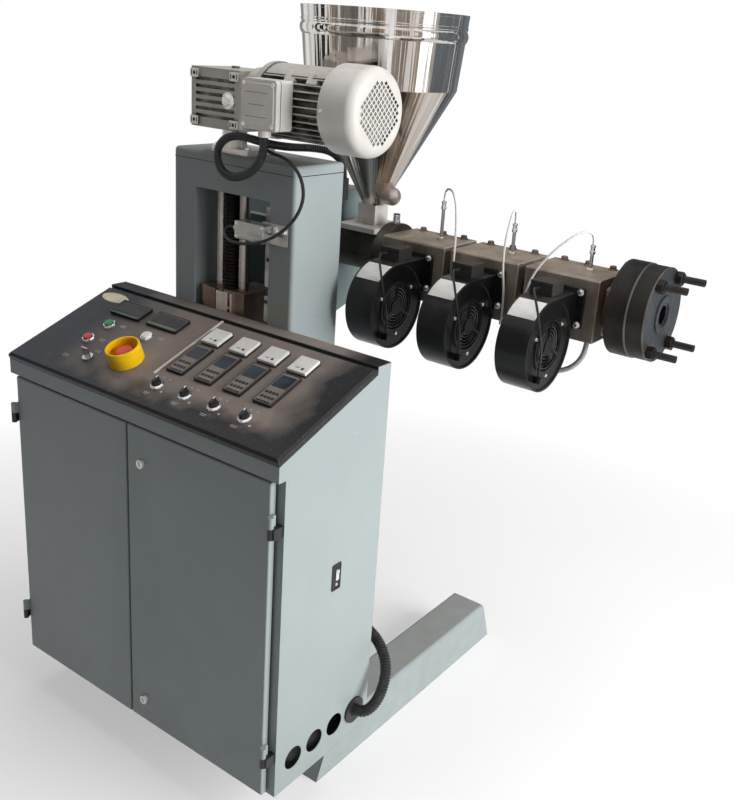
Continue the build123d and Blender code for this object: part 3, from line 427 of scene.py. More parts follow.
def braid(name, tone, shadow):
    f = Finish(name, {"Sheen Weight": 0.2, "Roughness": 0.55})
    strands, pitch = 6, 0.0042
    wrap = f.node("ShaderNodeTexCoord", output="UV")
    turn = f.node("ShaderNodeSeparateXYZ", {}, {0: wrap}, output="X") * (2 * math.pi * strands)
    run = f.node("ShaderNodeSeparateXYZ", {}, {0: wrap}, output="Y") * (2 * math.pi / pitch)
    weave = (turn + run).sine().larger((turn - run).sine())
    f.shade({"Base Color": f.mix(f.span(weave, -0.2, 0.9), shadow, tone)})
    f.relief(weave, 0.0004, 0.0004)
    return f.material


hose_black = rubber("hose_black", "17171a", 0.3)
cable_black = rubber("cable_black", "1b1b1d", 0.42)
lead_braid = braid("lead_braid", "f4f0ed", "cfc6bf")
conduit_braid = braid("conduit_braid", "c9ccd0", "5c6066")
print("cord finishes ready")

# %% [markdown]
# A route leaves one fitting straight, hangs freely, and runs straight into the next. Where the photograph
# shows a cord, its points were chosen near that curve, and a hidden end is a guess. They are listed and
# not worked out, because a cord lies as it was laid.

# %% Routes
motor_hose_route = [
    (147, -140, 1385), (147, -140, 1358), (128, -139, 1324), (92, -136, 1301), (48, -132, 1291),
    (12, -127, 1303), (-6, -121, 1333), (6, -116, 1362), (36, -110, 1375), (60, -94, 1371),
    (70, -62, 1362), (72, -22, 1354), (80, 20, 1349), (104, 60, 1349), (130, 94, 1343),
    (148, 114, 1316), (148, 114, 1286),
]
limit_cable_route = [
    (127, -120.6, 1389), (127, -120.6, 1372), (134, -121, 1358), (152, -120, 1352), (176, -121, 1350),
    (205, -122, 1340), (228, -119, 1316), (234, -115, 1280), (222, -114, 1245), (196, -115, 1212),
    (160, -119, 1184), (120, -123, 1165), (80, -124, 1157), (46, -122, 1155), (20, -115, 1160),
    (6, -105, 1170), (8, -98, 1181), (30, -98, 1181),
]
side_hose_route = [
    (440, -130.5, 180.5), (472, -130.5, 180.5), (492, -112, 202), (496, -88, 238), (484, -64, 277),
    (452, -48, 308), (410, -40, 324), (365, -38, 331), (315, -37, 333), (265, -38, 331),
    (225, -38, 328), (194, -38, 328),
]
lead_routes = [
    [
        (287, 318, 1238), (287, 318, 1257), (302, 307, 1271), (328, 288, 1268), (350, 268, 1247),
        (366, 250, 1214), (375, 238, 1176), (379, 232, 1138), (380, 230, 1098), (380, 230, 1060),
    ],
    [
        (477, 318, 1218), (477, 318, 1237), (480, 305, 1250), (486, 284, 1246), (491, 262, 1215),
        (496, 244, 1176), (503, 234, 1136), (511, 231, 1098), (515, 230, 1062), (515, 230, 1030),
    ],
    [
        (667, 318, 1204), (667, 318, 1223), (658, 305, 1234), (642, 284, 1227), (620, 264, 1204),
        (597, 248, 1174), (578, 238, 1140), (567, 232, 1104), (562, 230, 1068), (562, 230, 1034),
    ],
]
blower_middles = (262, 452, 642)
wire_routes = [
    [
        (m - 8, 158, 1132), (m - 8, 141, 1132), (m - 2, 118, 1138), (m + 16, 90, 1132), (m + 36, 73, 1104),
        (m + 47, 72, 1062), (m + 48, 84, 1026), (m + 42, 97, 996), (m + 42, 97, 966),
    ]
    for m in blower_middles
]
conduit_route = [
    (690, 300, 1003), (690, 300, 980), (682, 291, 952), (660, 283, 931), (628, 279, 921),
    (595, 279, 922), (563, 282, 929), (537, 289, 948), (515, 300, 975), (515, 300, 1003),
]
print(len(lead_routes), "lead routes and", len(wire_routes), "wire routes")

# %% [markdown]
# Each cord takes the place of its solid and rides on the same body.

# %% Cords
def cord(name, node, body, route, diameter, finish, slot, radius_at, step, sides, **facts):
    points = smooth_line(route)
    tube = swept_tube(name, points, step * mm, radius_at, sides)
    tube.data.materials.append(finish)
    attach(tube, body)
    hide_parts(node)
    return tube


into = {"far_end": "object", "lay": "hanging"}
cord("motor_hose_tube", "motor_hose", "frame", motor_hose_route, 18, hose_black, "black_rubber",
     radius_at=ribbed(18, pitch=5.0, depth=1.9), step=0.9, sides=20, stiffness="medium", **into)
cord("limit_cable_sheath", "limit_cable", "frame", limit_cable_route, 7, cable_black, "black_rubber",
     radius_at=plain(7), step=4, sides=14, stiffness="medium", **into)
cord("side_hose_tube", "side_hose", "frame", side_hose_route, 26, hose_black, "black_rubber",
     radius_at=ribbed(26, pitch=6.0, depth=2.2), step=1.1, sides=24, stiffness="medium", **into)
for number, route in enumerate(lead_routes, start=1):
    cord(f"sensor_lead_{number}", "thermocouple_leads", "lift", route, 5, lead_braid, "pale_sleeve",
         radius_at=plain(5), step=2.5, sides=14, stiffness="medium", **into)
for number, route in enumerate(wire_routes, start=1):
    cord(f"blower_wire_{number}", "blower_wires", "lift", route, 5, cable_black, "black_rubber",
         radius_at=plain(5), step=3, sides=12, stiffness="medium", **into)
cord("conduit_sheath", "heater_conduit", "lift", conduit_route, 12, conduit_braid, "bright_metal",
     radius_at=ribbed(12, pitch=3.2, depth=0.5), step=0.8, sides=18, stiffness="stiff", **into)

# %% [markdown]
# ## Finishes
# Paint, plate and metal differ in how they age. Enamel gathers dust on top and dirt near the floor, cast
# metal keeps its sandy skin, heated steel turns brown in patches, and polished sheet shows streaks along its
# rolling. Each finish is a formula of a few noises, the height, and the edges that hands and tools rub. A
# formula needs no unwrapping and stays sharp from every side, which a painted picture doesn't.

# %% Green enamel
def enamel(name, tone, shade):
    """Sprayed enamel on sheet steel, dusty on top, with an old oily stain on the front of one post."""
    f = Finish(name, {"Coat Roughness": 0.25, "Specular IOR Level": 0.32})
    clouds = f.span(f.noise(2.6, 4), 0.35, 0.7)
    smears = f.span(f.noise(6, 5, (1, 1, 0.35)), 0.5, 0.72)
    scuffs = f.span(f.noise(90, 4, (0.4, 0.4, 1)), 0.68, 0.76)
    dust = f.span(f.facing("Z"), 0.6, 1.0) * f.span(f.noise(14), 0.3, 0.7, 0.6, 1.0)
    low = f.span(f.along("Z"), 0.26, 0.1) * f.span(f.noise(24, 5), 0.35, 0.7)
    stain_top = f.span(f.along("Z") + f.noise(9) * 0.08, 1.09, 1.05)
    stain_foot = f.span(f.along("Z") - f.noise(14) * 0.05, 0.96, 1.0)
    stain_side = f.span(f.along("X") + f.noise(20) * 0.02, 0.118, 0.15)
    stain = stain_top * stain_foot * stain_side * f.span(f.facing("Y"), -0.6, -0.9)
    worn = f.edges(0.0022) * f.span(f.noise(38), 0.45, 0.62)
    # Grooves and corners darken by the occlusion mask: painted shade, broken up by noise as grime.
    grime = f.occlusion_shade(0.02) * f.span(f.noise(30, 4), 0.3, 0.6)
    paint = f.mix(clouds * 0.5 + smears * 0.2, tone, shade)
    paint = f.mix(dust * 0.5, paint, "979089")
    paint = f.mix(low * 0.15, paint, "6a6259")
    paint = f.mix(stain * 0.3, paint, "97905f")
    paint = f.mix(grime * 0.4, paint, "4d4842")
    paint = f.mix(scuffs * 0.12, paint, "c2c8c5")
    paint = f.mix(worn * 0.35, paint, "c4c9c8")
    f.shade({
        "Base Color": paint,
        "Roughness": 0.42 + dust * 0.3 + smears * 0.1 - worn * 0.08,
        "Coat Weight": 0.16 - dust * 0.12,
    })
    f.relief(f.noise(700, 2), 0.00012, 0.0018)
    return f.material


print("enamel ready")

# %% [markdown]
# The console is black lacquer and the blowers are black stove enamel. Both are dusty. The console's brown layer
# is dust and painted sheen in one colour, clear on the left and along the front, where hands work, and the
# blowers keep their gloss. So it is the border of that layer that is modelled, more than the black.

# %% Black lacquer and stove enamel
def console_lacquer(name):
    """Black panel lacquer under a brown layer of dust and painted sheen, clear on the left and along the front.
    """
    f = Finish(name, {"Coat Roughness": 0.3, "Specular IOR Level": 0.2})
    x, y = f.along("X"), f.along("Y")
    ragged = (f.noise(9, 5) - 0.5) * 0.16
    # The brown layer is dust and a painted sheen together.
    dust_and_sheen_film = f.span(x + ragged, -0.25, -0.06) * f.span(y + ragged, -0.385, -0.345)
    dust_and_sheen_film = dust_and_sheen_film * f.span(f.noise(6, 5), 0.25, 0.6, 0.6, 1.0) * f.span(x + ragged, 0.41, 0.35)
    dust_and_sheen_film = dust_and_sheen_film * f.span(f.facing("Z"), 0.7, 0.9)
    smear = f.span(f.noise(18, 5, (1, 0.4, 1)), 0.48, 0.7)
    specks = f.span(f.noise(260, 3), 0.62, 0.72)
    worn = f.edges(0.002) * f.span(f.noise(45), 0.4, 0.6)
    lacquer = f.mix(f.span(x, -0.25, 0.05), "1a212c", "272628")
    paint = f.mix(smear * 0.25, lacquer, "34343a")
    paint = f.mix(dust_and_sheen_film * 0.78 + smear * dust_and_sheen_film * 0.14, paint, "998d85")
    paint = f.mix(specks * 0.18, paint, "9a928a")
    f.shade({
        "Base Color": f.mix(worn * 0.5, paint, "7c7b7b"),
        "Roughness": 0.36 + dust_and_sheen_film * 0.3 + smear * 0.08,
        "Coat Weight": 0.06 - dust_and_sheen_film * 0.05,
    })
    f.relief(f.noise(900, 2), 0.0001, 0.0016)
    return f.material


def gloss_black(name):
    """Thick black stove enamel on pressed steel; the wiring box on top is matt moulding."""
    f = Finish(name, {"Coat Roughness": 0.12, "Specular IOR Level": 0.28})
    dust = f.span(f.facing("Z"), 0.2, 1.0) * f.span(f.noise(30, 4), 0.35, 0.7)
    rubs = f.span(f.noise(80, 4), 0.62, 0.72)
    worn = f.edges(0.0018) * f.span(f.noise(60), 0.45, 0.6)
    box = f.span(f.along("Z"), 1.1165, 1.117)
    paint = f.mix(dust * 0.3 + box * 0.22, "0d0d0f", "5c5550")
    paint = f.mix(rubs * 0.3, paint, "3a3634")
    f.shade({
        "Base Color": f.mix(worn * 0.4, paint, "57534f"),
        "Roughness": 0.3 + dust * 0.25 + rubs * 0.1 + box * 0.3,
        "Coat Weight": (1 - box) * (0.16 - dust * 0.1),
    })
    f.relief(f.noise(500, 2), 0.0001, 0.002)
    return f.material


print("black paints ready")

# %% [markdown]
# Buttons, bezels and plates are moulded plastic. A fine grain breaks up the highlight, which on a smooth
# surface of one colour would be a hard spot.

# %% Moulded plastic
def moulded(name, tone, shade, rough=0.45, grain=900):
    """Moulded plastic with a fine matt grain."""
    f = Finish(name, {"Specular IOR Level": 0.5})
    cloud = f.span(f.noise(40, 4), 0.35, 0.7)
    grime = f.span(f.noise(160, 3), 0.58, 0.75)
    worn = f.edges(0.0008) * 0.35
    paint = f.mix(cloud * 0.5 + grime * 0.3, tone, shade)
    f.shade({"Base Color": f.mix(worn, paint, tone), "Roughness": rough + grime * 0.15 - worn * 0.2})
    f.relief(f.noise(grain, 2), 0.00015, 0.0009)
    return f.material


print("moulded plastic ready")

# %% [markdown]
# Bare metal takes its colour from what it reflects, so its formula changes stain and roughness more than
# tone. The lift motor's castings are painted silver, and their grooves are darkened brown, partly by grime and
# partly as painted shade. An occlusion node finds the grooves, so no mask has to be drawn.

# %% Bare and cast metal
def metal(name, tone, stain, rough, grain=(1, 1, 1), scale=60, stained=0.5, edge="d8d8d6", end=None):
    """Bare metal: patches of stain, a grain along the tool marks, rubbed edges, maybe a paler right end as a
    painted highlight.
    """
    f = Finish(name, {"Metallic": 1.0})
    patches = f.span(f.noise(scale * 0.3, 5), 0.4, 0.68)
    marks = f.noise(scale * 8, 3, grain)
    worn = f.edges(0.0016)
    skin = f.mix(patches * stained, tone, stain)
    # A paler right end is a painted highlight on the faces turned towards the light.
    if end:
        skin = f.mix(f.span(f.facing("X"), 0.7, 0.95) * f.span(patches, 0, 1, 1.0, 0.6), skin, end)
    f.shade({
        "Base Color": f.mix(worn * 0.6, skin, edge),
        "Roughness": rough + patches * 0.12 + (marks - 0.5) * 0.12 - worn * 0.1,
    })
    f.relief(marks, 0.00015, 0.0014)
    return f.material


def cast(name, tone, shade, groove_shade_and_grime, bare=0.3):
    """Silver paint over sand-cast aluminium, its grooves darkened brown by grime and by painted shade."""
    f = Finish(name, {"Metallic": bare, "Specular IOR Level": 0.4})
    sand = f.noise(420, 3)
    clouds = f.span(f.noise(16, 4), 0.35, 0.7)
    dust = f.span(f.facing("Z"), 0.4, 1.0) * f.span(f.noise(40), 0.35, 0.7)
    # Brown in the grooves: grime, and painted shade from the occlusion mask.
    grime = f.occlusion_shade(0.03) * f.span(f.noise(34, 5), 0.25, 0.55)
    worn = f.edges(0.0018)
    paint = f.mix(clouds * 0.6, tone, shade)
    paint = f.mix(dust * 0.3, paint, "9a938a")
    paint = f.mix(worn * 0.5, paint, "e4e4e2")
    f.shade({
        "Base Color": f.mix(grime * groove_shade_and_grime, paint, "3b322b"),
        "Roughness": 0.42 + clouds * 0.1 + dust * 0.15 + grime * 0.2 - worn * 0.1,
    })
    f.relief(sand, 0.0004, 0.0018)
    return f.material


print("metals ready")

# %% [markdown]
# Two finishes belong to one kind of piece each. The hopper's rolled sheet has painted reflections: light and
# dark stripes in its colour that run down the wall and meet at its foot, so they follow the direction from the
# hopper's axis. The heater blocks are browned by heat, with soot in patches and pale rubbed edges.

# %% Polished and browned metal
def polished_sheet(name):
    """Rolled stainless sheet with painted reflections: stripes that run down the hopper's wall and meet at its
    foot.
    """
    f = Finish(name, {"Metallic": 1.0, "Anisotropic": 0.3})
    across = {0: f.along("X") - hopper_x * mm, 1: f.along("Y") - hopper_y * mm}
    out = f.node("ShaderNodeCombineXYZ", {}, across)
    out = f.node("ShaderNodeVectorMath", {"operation": "NORMALIZE"}, {0: out})
    height = f.along("Z")
    turn_x = f.node("ShaderNodeSeparateXYZ", {}, {0: out}, output="X")
    turn_y = f.node("ShaderNodeSeparateXYZ", {}, {0: out}, output="Y")
    wall = f.node("ShaderNodeCombineXYZ", {}, {0: turn_x, 1: turn_y, 2: height * 0.18})

    def streaks_and_reflections(scale, low, high):
        pattern = f.node("ShaderNodeTexNoise", {}, {"Vector": wall, "Scale": scale, "Detail": 2.0})
        return f.span(pattern, low, high)

    cone = f.span(height, 1.479, 1.473)
    smudge = f.span(f.noise(11, 4), 0.5, 0.75)
    hair = f.noise(500, 2, (1, 1, 0.02))
    # Tan, dark brown and white stripes are painted reflections, stronger on the cone.
    steel = f.mix(streaks_and_reflections(3.1, 0.46, 0.6) * (0.35 + cone * 0.3), "dedbd7", "a4917d")
    steel = f.mix(streaks_and_reflections(5.3, 0.54, 0.64) * (0.45 + cone * 0.3), steel, "5c4c40")
    steel = f.mix(streaks_and_reflections(11, 0.55, 0.62) * 0.5, steel, "f6f5f3")
    steel = f.mix(smudge * 0.2, steel, "b5aca2")
    spout = f.span(f.along("X"), 0.112, 0.118) * f.span(height, 1.262, 1.256)
    steel = f.mix(spout * 0.85, steel, "d8cdc7")
    gloss = 0.07 + smudge * 0.1 + cone * 0.06 + (hair - 0.5) * 0.06
    f.shade({"Base Color": steel, "Roughness": gloss + spout * 0.32})
    f.relief(streaks_and_reflections(4.0, 0.3, 0.7) * 0.7 + streaks_and_reflections(13, 0.3, 0.7) * 0.2, 0.0016, 0.0015)
    return f.material


def browned(name):
    """Cast heater blocks: grey metal turned tan and brown by heat and paler tan on top, sooty in patches, pale
    on rubbed edges.
    """
    f = Finish(name, {"Metallic": 0.3, "Specular IOR Level": 0.4})
    patches = f.span(f.noise(13, 5), 0.38, 0.66)
    straw = f.span(f.noise(21, 5, (1, 1, 0.5)), 0.5, 0.7)
    soot = f.span(f.noise(8, 5), 0.52, 0.7)
    drips = f.span(f.noise(34, 4, (1, 1, 0.15)), 0.54, 0.68)
    sand = f.noise(380, 3)
    # Faces turned upwards are paler tan.
    above = f.span(f.facing("Z"), 0.5, 0.9)
    worn = f.edges(0.004)
    skin = f.mix(patches, "938b81", "7a6e62")
    skin = f.mix(straw * 0.45 + above * 0.3, skin, "b8a289")
    skin = f.mix(soot * 0.45, skin, "3d3530")
    skin = f.mix(drips * 0.3, skin, "51453b")
    f.shade({
        "Base Color": f.mix(worn, skin, "ddd0be"),
        "Roughness": 0.46 + soot * 0.2 + (sand - 0.5) * 0.15 - worn * 0.1,
    })
    f.relief(sand, 0.0004, 0.002)
    return f.material


print("hopper and heater finishes ready")

# %% [markdown]
# Most solids share a finish with their neighbours, so one table gives a finish for each slot. A second, short
# table holds the solids that have aged in their own way.

# %% Tables of finishes
finishes = {
    "green_paint": enamel("green_enamel", "919a9b", "858e8f"),
    "console_black": console_lacquer("console_lacquer"),
    "blower_black": gloss_black("blower_gloss"),
    "black_plastic": moulded("black_moulding", "1d1d1f", "2c2a29"),
    "white_plastic": moulded("white_moulding", "eceae6", "d6d2cb", 0.38),
    "yellow_plastic": moulded("yellow_moulding", "f2c40c", "dba800", 0.35),
    "bright_metal": metal("bright_plate", "c9c9c8", "a29c94", 0.26),
    "chrome_rod": metal("ground_rod", "a9a3a0", "7d736c", 0.2, (1, 1, 14), 40, 0.6),
    "dark_steel": metal("black_oxide", "3b3937", "262321", 0.46, stained=0.7, edge="8c8883"),
    "worn_steel": metal("oiled_steel", "9a877a", "6a564a", 0.42, (1, 1, 0.2), 50, 0.8, "cdc1b5"),
    "cast_aluminium": cast("silver_casting", "c8c4bc", "aba69e", 0.95),
    "drive_paint": enamel("drive_enamel", "6e7c7c", "62706f"),
    "stainless": polished_sheet("polished_sheet"),
    "black_rubber": cable_black,
    "pale_sleeve": lead_braid,
}
silver_sheet = cast("silver_sheet", "e2dfd9", "cecac3", 0.5, 0.4)
own_finishes = {
    "hopper_neck": cast("satin_sheet", "e6e1db", "c4bab0", 0.5),
    "gear_pedestal": metal("scraped_plate", "f0ebe6", "cfc7c0", 0.38, edge="ffffff"),
    "feed_section": metal("feed_casting", "6f6a63", "4b4640", 0.5, stained=0.8, edge="a7a097"),
    # The flange's right end face is painted paler, a painted highlight.
    "die_flange": metal("turned_flange", "3f3d3a", "2b2826", 0.45, edge="a8a6a2", end="85898c"),
    "lead_screw": metal("oiled_thread", "252423", "171615", 0.4, edge="4b4946"),
    "motor_fan_cover": silver_sheet,
    "motor_terminal_box": silver_sheet,
}
for number in (1, 2, 3):
    own_finishes[f"heater_block_{number}"] = browned(f"heater_skin_{number}")
print(len(finishes) + len(own_finishes) - 1, "finishes")

# %% [markdown]
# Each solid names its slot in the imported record, so its finish follows from the slot, unless the second table
# has one under the solid's own name.

# %% Dress the solids
for entry in frame["record"]["subparts"]:
    skin = solids[entry["node"]].data.materials
    skin.clear()
    skin.append(own_finishes.get(entry["node"], finishes[entry["material_slot"]]))

# %% [markdown]
# ## A small workshop for fittings
# Screws, knobs and plates are turned or cut, so two shapes make nearly all of them: a profile turned round
# an axis, and a flat outline raised with a bevelled front edge. Each is set on the machine by a placement: a
# point in millimetres, the way it faces, and which way its own width runs.

# %% Placements and outlines
def stand(point, normal, along):
    """A placement whose z axis is normal and whose x axis is along."""
    z = Vector(normal).normalized()
    x = Vector(along).normalized()
    axes = Matrix((x, z.cross(x), z)).transposed().to_4x4()
    axes.translation = Vector(point)
    return axes


def on_front(x, y, z):
    return stand((x, y, z), (0, -1, 0), (1, 0, 0))


def on_right(x, y, z):
    return stand((x, y, z), (1, 0, 0), (0, 1, 0))


def on_top(x, y, z):
    return stand((x, y, z), (0, 0, 1), (1, 0, 0))


def rounded(width, height, radius, steps=4):
    """A rectangle with rounded corners, as outline points round the origin."""
    outline = []
    for quarter, (sx, sy) in enumerate(((1, 1), (-1, 1), (-1, -1), (1, -1))):
        for n in range(steps + 1):
            turn = math.pi / 2 * (quarter + n / steps)
            outline.append((
                sx * (width / 2 - radius) + radius * math.cos(turn),
                sy * (height / 2 - radius) + radius * math.sin(turn),
            ))
    return outline


def oval(width, height, sides=40):
    turns = [2 * math.pi * n / sides for n in range(sides)]
    return [(width / 2 * math.cos(turn), height / 2 * math.sin(turn)) for turn in turns]


print("placements and outlines ready")

# %% [markdown]
# A turned knob, a raised plate, a border, a bent skin and a thread have one thing in common: each is a row of
# rings with the same number of points. So one method skins a row of rings, and the others only say where the
# rings lie.

# %% Shapes made of rings
class Shape:
    """A mesh built of rings of points, in millimetres."""

    def __init__(self):
        self.mesh = bmesh.new()

    def rings(self, rings, closed=False):
        """Skins a row of rings; the ends are capped unless the row closes on itself."""
        rows = [[self.mesh.verts.new(point * mm) for point in ring] for ring in rings]
        pairs = list(zip(rows, rows[1:]))
        if closed:
            pairs.append((rows[-1], rows[0]))
        for low, high in pairs:
            for k in range(len(low)):
                after = (k + 1) % len(low)
                self.mesh.faces.new((low[k], low[after], high[after], high[k]))
        if not closed:
            self.mesh.faces.new(rows[0][::-1])
            self.mesh.faces.new(rows[-1])
        return self

    def turned(self, place, profile, sides=28, closed=False):
        """Turns steps of (radius, height) round the placement's normal."""
        turns = [2 * math.pi * (k + 0.5) / sides for k in range(sides)]
        return self.rings([
            [place @ Vector((radius * math.cos(t), radius * math.sin(t), height)) for t in turns]
            for radius, height in profile
        ], closed)

    def cut(self, place, outline, depth, bevel=0.5, start=0.0):
        """Raises an outline by depth, with a bevel round its front edge."""
        wide = max(abs(x) for x, _ in outline)
        tall = max(abs(y) for _, y in outline)
        steps = ((start, 0), (start + depth - bevel, 0), (start + depth, bevel))
        return self.rings([
            [place @ Vector((x * (1 - inset / wide), y * (1 - inset / tall), height)) for x, y in outline]
            for height, inset in steps
        ])

    def frame(self, place, outer, inner, depth, bevel=0.5):
        """A raised border between two outlines with the same number of points."""
        def ring(share, height):
            mixed = [(a + (c - a) * share, b + (d - b) * share) for (a, b), (c, d) in zip(outer, inner)]
            return [place @ Vector((x, y, height)) for x, y in mixed]
        shoulder = depth - bevel
        steps = ((0, 0), (0, shoulder), (0.25, depth), (0.75, depth), (1, shoulder), (1, 0))
        return self.rings([ring(share, height) for share, height in steps], closed=True)

    def bent(self, axis, stations, outer, inner, start, sweep, steps):
        """A skin bent round an axis along x. A station is an x and what it adds to the outer radius."""
        turns = [math.radians(start + sweep * n / steps) for n in range(steps + 1)]
        rings = []
        for x, grow in stations:
            arc = [(outer + grow, t) for t in turns] + [(inner, t) for t in reversed(turns)]
            rings.append([Vector((x, axis[0] + r * math.cos(t), axis[1] + r * math.sin(t))) for r, t in arc])
        return self.rings(rings)

    def threaded(self, place, radius, length, pitch, depth, sides=24):
        """A rod with a rounded thread: every ring is a slice through the same helix."""
        slices_per_turn = 6
        count = int(length / pitch * slices_per_turn)
        rows = []
        for n in range(count + 1):
            height = length * n / count
            ring = []
            for k in range(sides):
                turn = 2 * math.pi * k / sides
                wave = 0.5 + 0.5 * math.cos(2 * math.pi * height / pitch - turn)
                r = radius - depth * (1 - wave)
                ring.append(place @ Vector((r * math.cos(turn), r * math.sin(turn), height)))
            rows.append(ring)
        return self.rings(rows)

    def screw(self, place, radius, height):
        """A round screw head with a socket."""
        head = [(radius, 0), (radius, height * 0.75), (radius * 0.88, height)]
        socket = [(radius * 0.55, height), (radius * 0.5, height * 0.45)]
        return self.turned(place, head + socket, 24)

    def bolt(self, place, across, height):
        """A hexagon head with a chamfered top, on a washer."""
        corner = across / math.sqrt(3)
        self.turned(place, [(corner * 1.35, 0), (corner * 1.35, height * 0.2)], 24)
        head = [(corner, height * 0.2), (corner, height * 0.82), (corner * 0.84, height)]
        return self.turned(place, head, 6)


print("shapes ready")

# %% [markdown]
# A finished shape becomes a piece: it gets its finish, rides on one body of the machine, and may take the
# place of a solid. Faces are shaded smooth, and edges sharper than the crease angle stay sharp.

# %% Pieces
crease = math.radians(32)


def piece(name, shape, body, finish, replaces=None):
    bmesh.ops.recalc_face_normals(shape.mesh, faces=shape.mesh.faces)
    for face in shape.mesh.faces:
        face.smooth = True
    for edge in shape.mesh.edges:
        edge.smooth = edge.calc_face_angle(0) < crease
    mesh = bpy.data.meshes.new(name)
    shape.mesh.to_mesh(mesh)
    shape.mesh.free()
    mesh.materials.append(finish)
    made = bpy.data.objects.new(name, mesh)
    bpy.context.scene.collection.objects.link(made)
    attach(made, body)
    if replaces:
        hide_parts(replaces)
    print(name, len(mesh.polygons), "faces")
    return made


chrome = metal("polished_chrome", "f2f2f2", "d5d2ce", 0.1, stained=0.3, edge="ffffff")
satin = metal("satin_strip", "e4dcd6", "bdb2aa", 0.42)
black = finishes["black_plastic"]
white = finishes["white_plastic"]
print("two more metals for fittings")

# %% [markdown]
# ## Console
# The panel slopes, so its instruments are placed by their distance from the panel's left end and the distance
# up the slope. A rotated parent could do the same, but then the numbers wouldn't be those of the drawing.

# %% Places on the console
console_corner = Vector((-352, -406.97, 872.31))
console_up = Vector((0, 0.9364, 0.3508))
console_normal = Vector((0, -0.3508, 0.9364))


def on_console(x, s, lift=0.0):
    point = console_corner + Vector((x, 0, 0)) + console_up * s + console_normal * lift
    return stand(point, console_normal, (1, 0, 0))


def turn_by(place, degrees):
    return place @ Matrix.Rotation(math.radians(degrees), 4, "Z")


columns = [421 + 80.6 * n for n in range(4)]
print("console columns at", columns)

# %% [markdown]
# A selector switch mixes three materials in one solid: a chromed bezel, a black knob and a white pointer. So
# three pieces replace that solid, one for each material.

# %% Selector switches
selector_row, grip_turn = 63.5, 12
bezels, knobs, pointers = Shape(), Shape(), Shape()
for x in columns:
    place = on_console(x, selector_row)
    bezels.turned(place, [(16, 0), (16, 3), (15.2, 5), (11.4, 7.4), (10.9, 5)], 10)
    knobs.turned(place, [(10.5, 4), (10.5, 10.5), (9.6, 11.8)], 32)
    grip = turn_by(place, grip_turn)
    knobs.cut(grip, rounded(7, 19.5, 2.4), 8.5, 0.8, 11)
    pointers.cut(grip @ Matrix.Translation((0, 6.2, 0)), rounded(3.4, 6.6, 1), 1, 0.3, 18.8)
    pointers.cut(grip @ Matrix.Translation((0, 9.8, 0)), rounded(3.4, 1.2, 0.5), 7, 0.3, 12)
piece("selector_bezels", bezels, "frame", chrome, "selector_switches")
piece("selector_knobs", knobs, "frame", black, "selector_switches")
piece("selector_pointers", pointers, "frame", white, "selector_switches")

# %% [markdown]
# Three push buttons have coloured caps in chromed bezels. The emergency stop is a red mushroom in a yellow
# cup, and the cup is turned as one closed profile, so that its wall has an inside.

# %% Push buttons and emergency stop
buttons = {
    "green_button": (144.5, 175.5, moulded("green_cap", "1d7a4c", "125c38", 0.25)),
    "red_button": (141, 117, moulded("red_cap", "b02c3a", "86202c", 0.25)),
    "white_button": (266, 177, white),
}
bezels = Shape()
for name, (x, s, finish) in buttons.items():
    bezels.turned(on_console(x, s), [(15.5, 0), (15.5, 4), (13.6, 8), (11.6, 8), (11.2, 5)], 10)
    cap = Shape().turned(on_console(x, s), [(11, 4), (11, 10.5), (10.2, 11.6), (8, 12)], 32)
    piece(name, cap, "frame", finish, "push_buttons")
piece("button_bezels", bezels, "frame", chrome, "push_buttons")
stop_red = moulded("stop_red", "e8451c", "c93410", 0.3)
stop = on_console(290, 98)
cup = [(32, 3), (32, 36.6), (33, 38), (36, 38), (37, 36.8), (37, 1), (36, 0), (15, 0), (14, 1.5), (14, 3)]
piece("stop_guard", Shape().turned(stop, cup, 48, closed=True), "frame", finishes["yellow_plastic"],
      "emergency_stop")
mushroom = [(13, 0), (13, 15), (19, 16.5), (20, 18.5), (20, 25), (18.6, 28), (15, 29.6), (8, 30)]
piece("stop_button", Shape().turned(stop, mushroom, 40), "frame", stop_red,
      "emergency_stop")

# %% [markdown]
# Controllers, meters and displays are bought units with a plain bezel. Borders, windows and keys are raised
# on them by a millimetre or so, because a raised edge catches light that a drawn line doesn't. Their glass is
# dark, with a blue cast on the controllers, because nothing behind it is lit.

# %% Instrument fronts
def glass(name, tone, shade):
    f = Finish(name, {"Specular IOR Level": 0.35})
    haze = f.span(f.noise(30, 4), 0.4, 0.7)
    f.shade({"Base Color": f.mix(haze, tone, shade), "Roughness": 0.3 + haze * 0.25})
    f.relief(f.noise(200, 2), 0.00004, 0.0006)
    return f.material


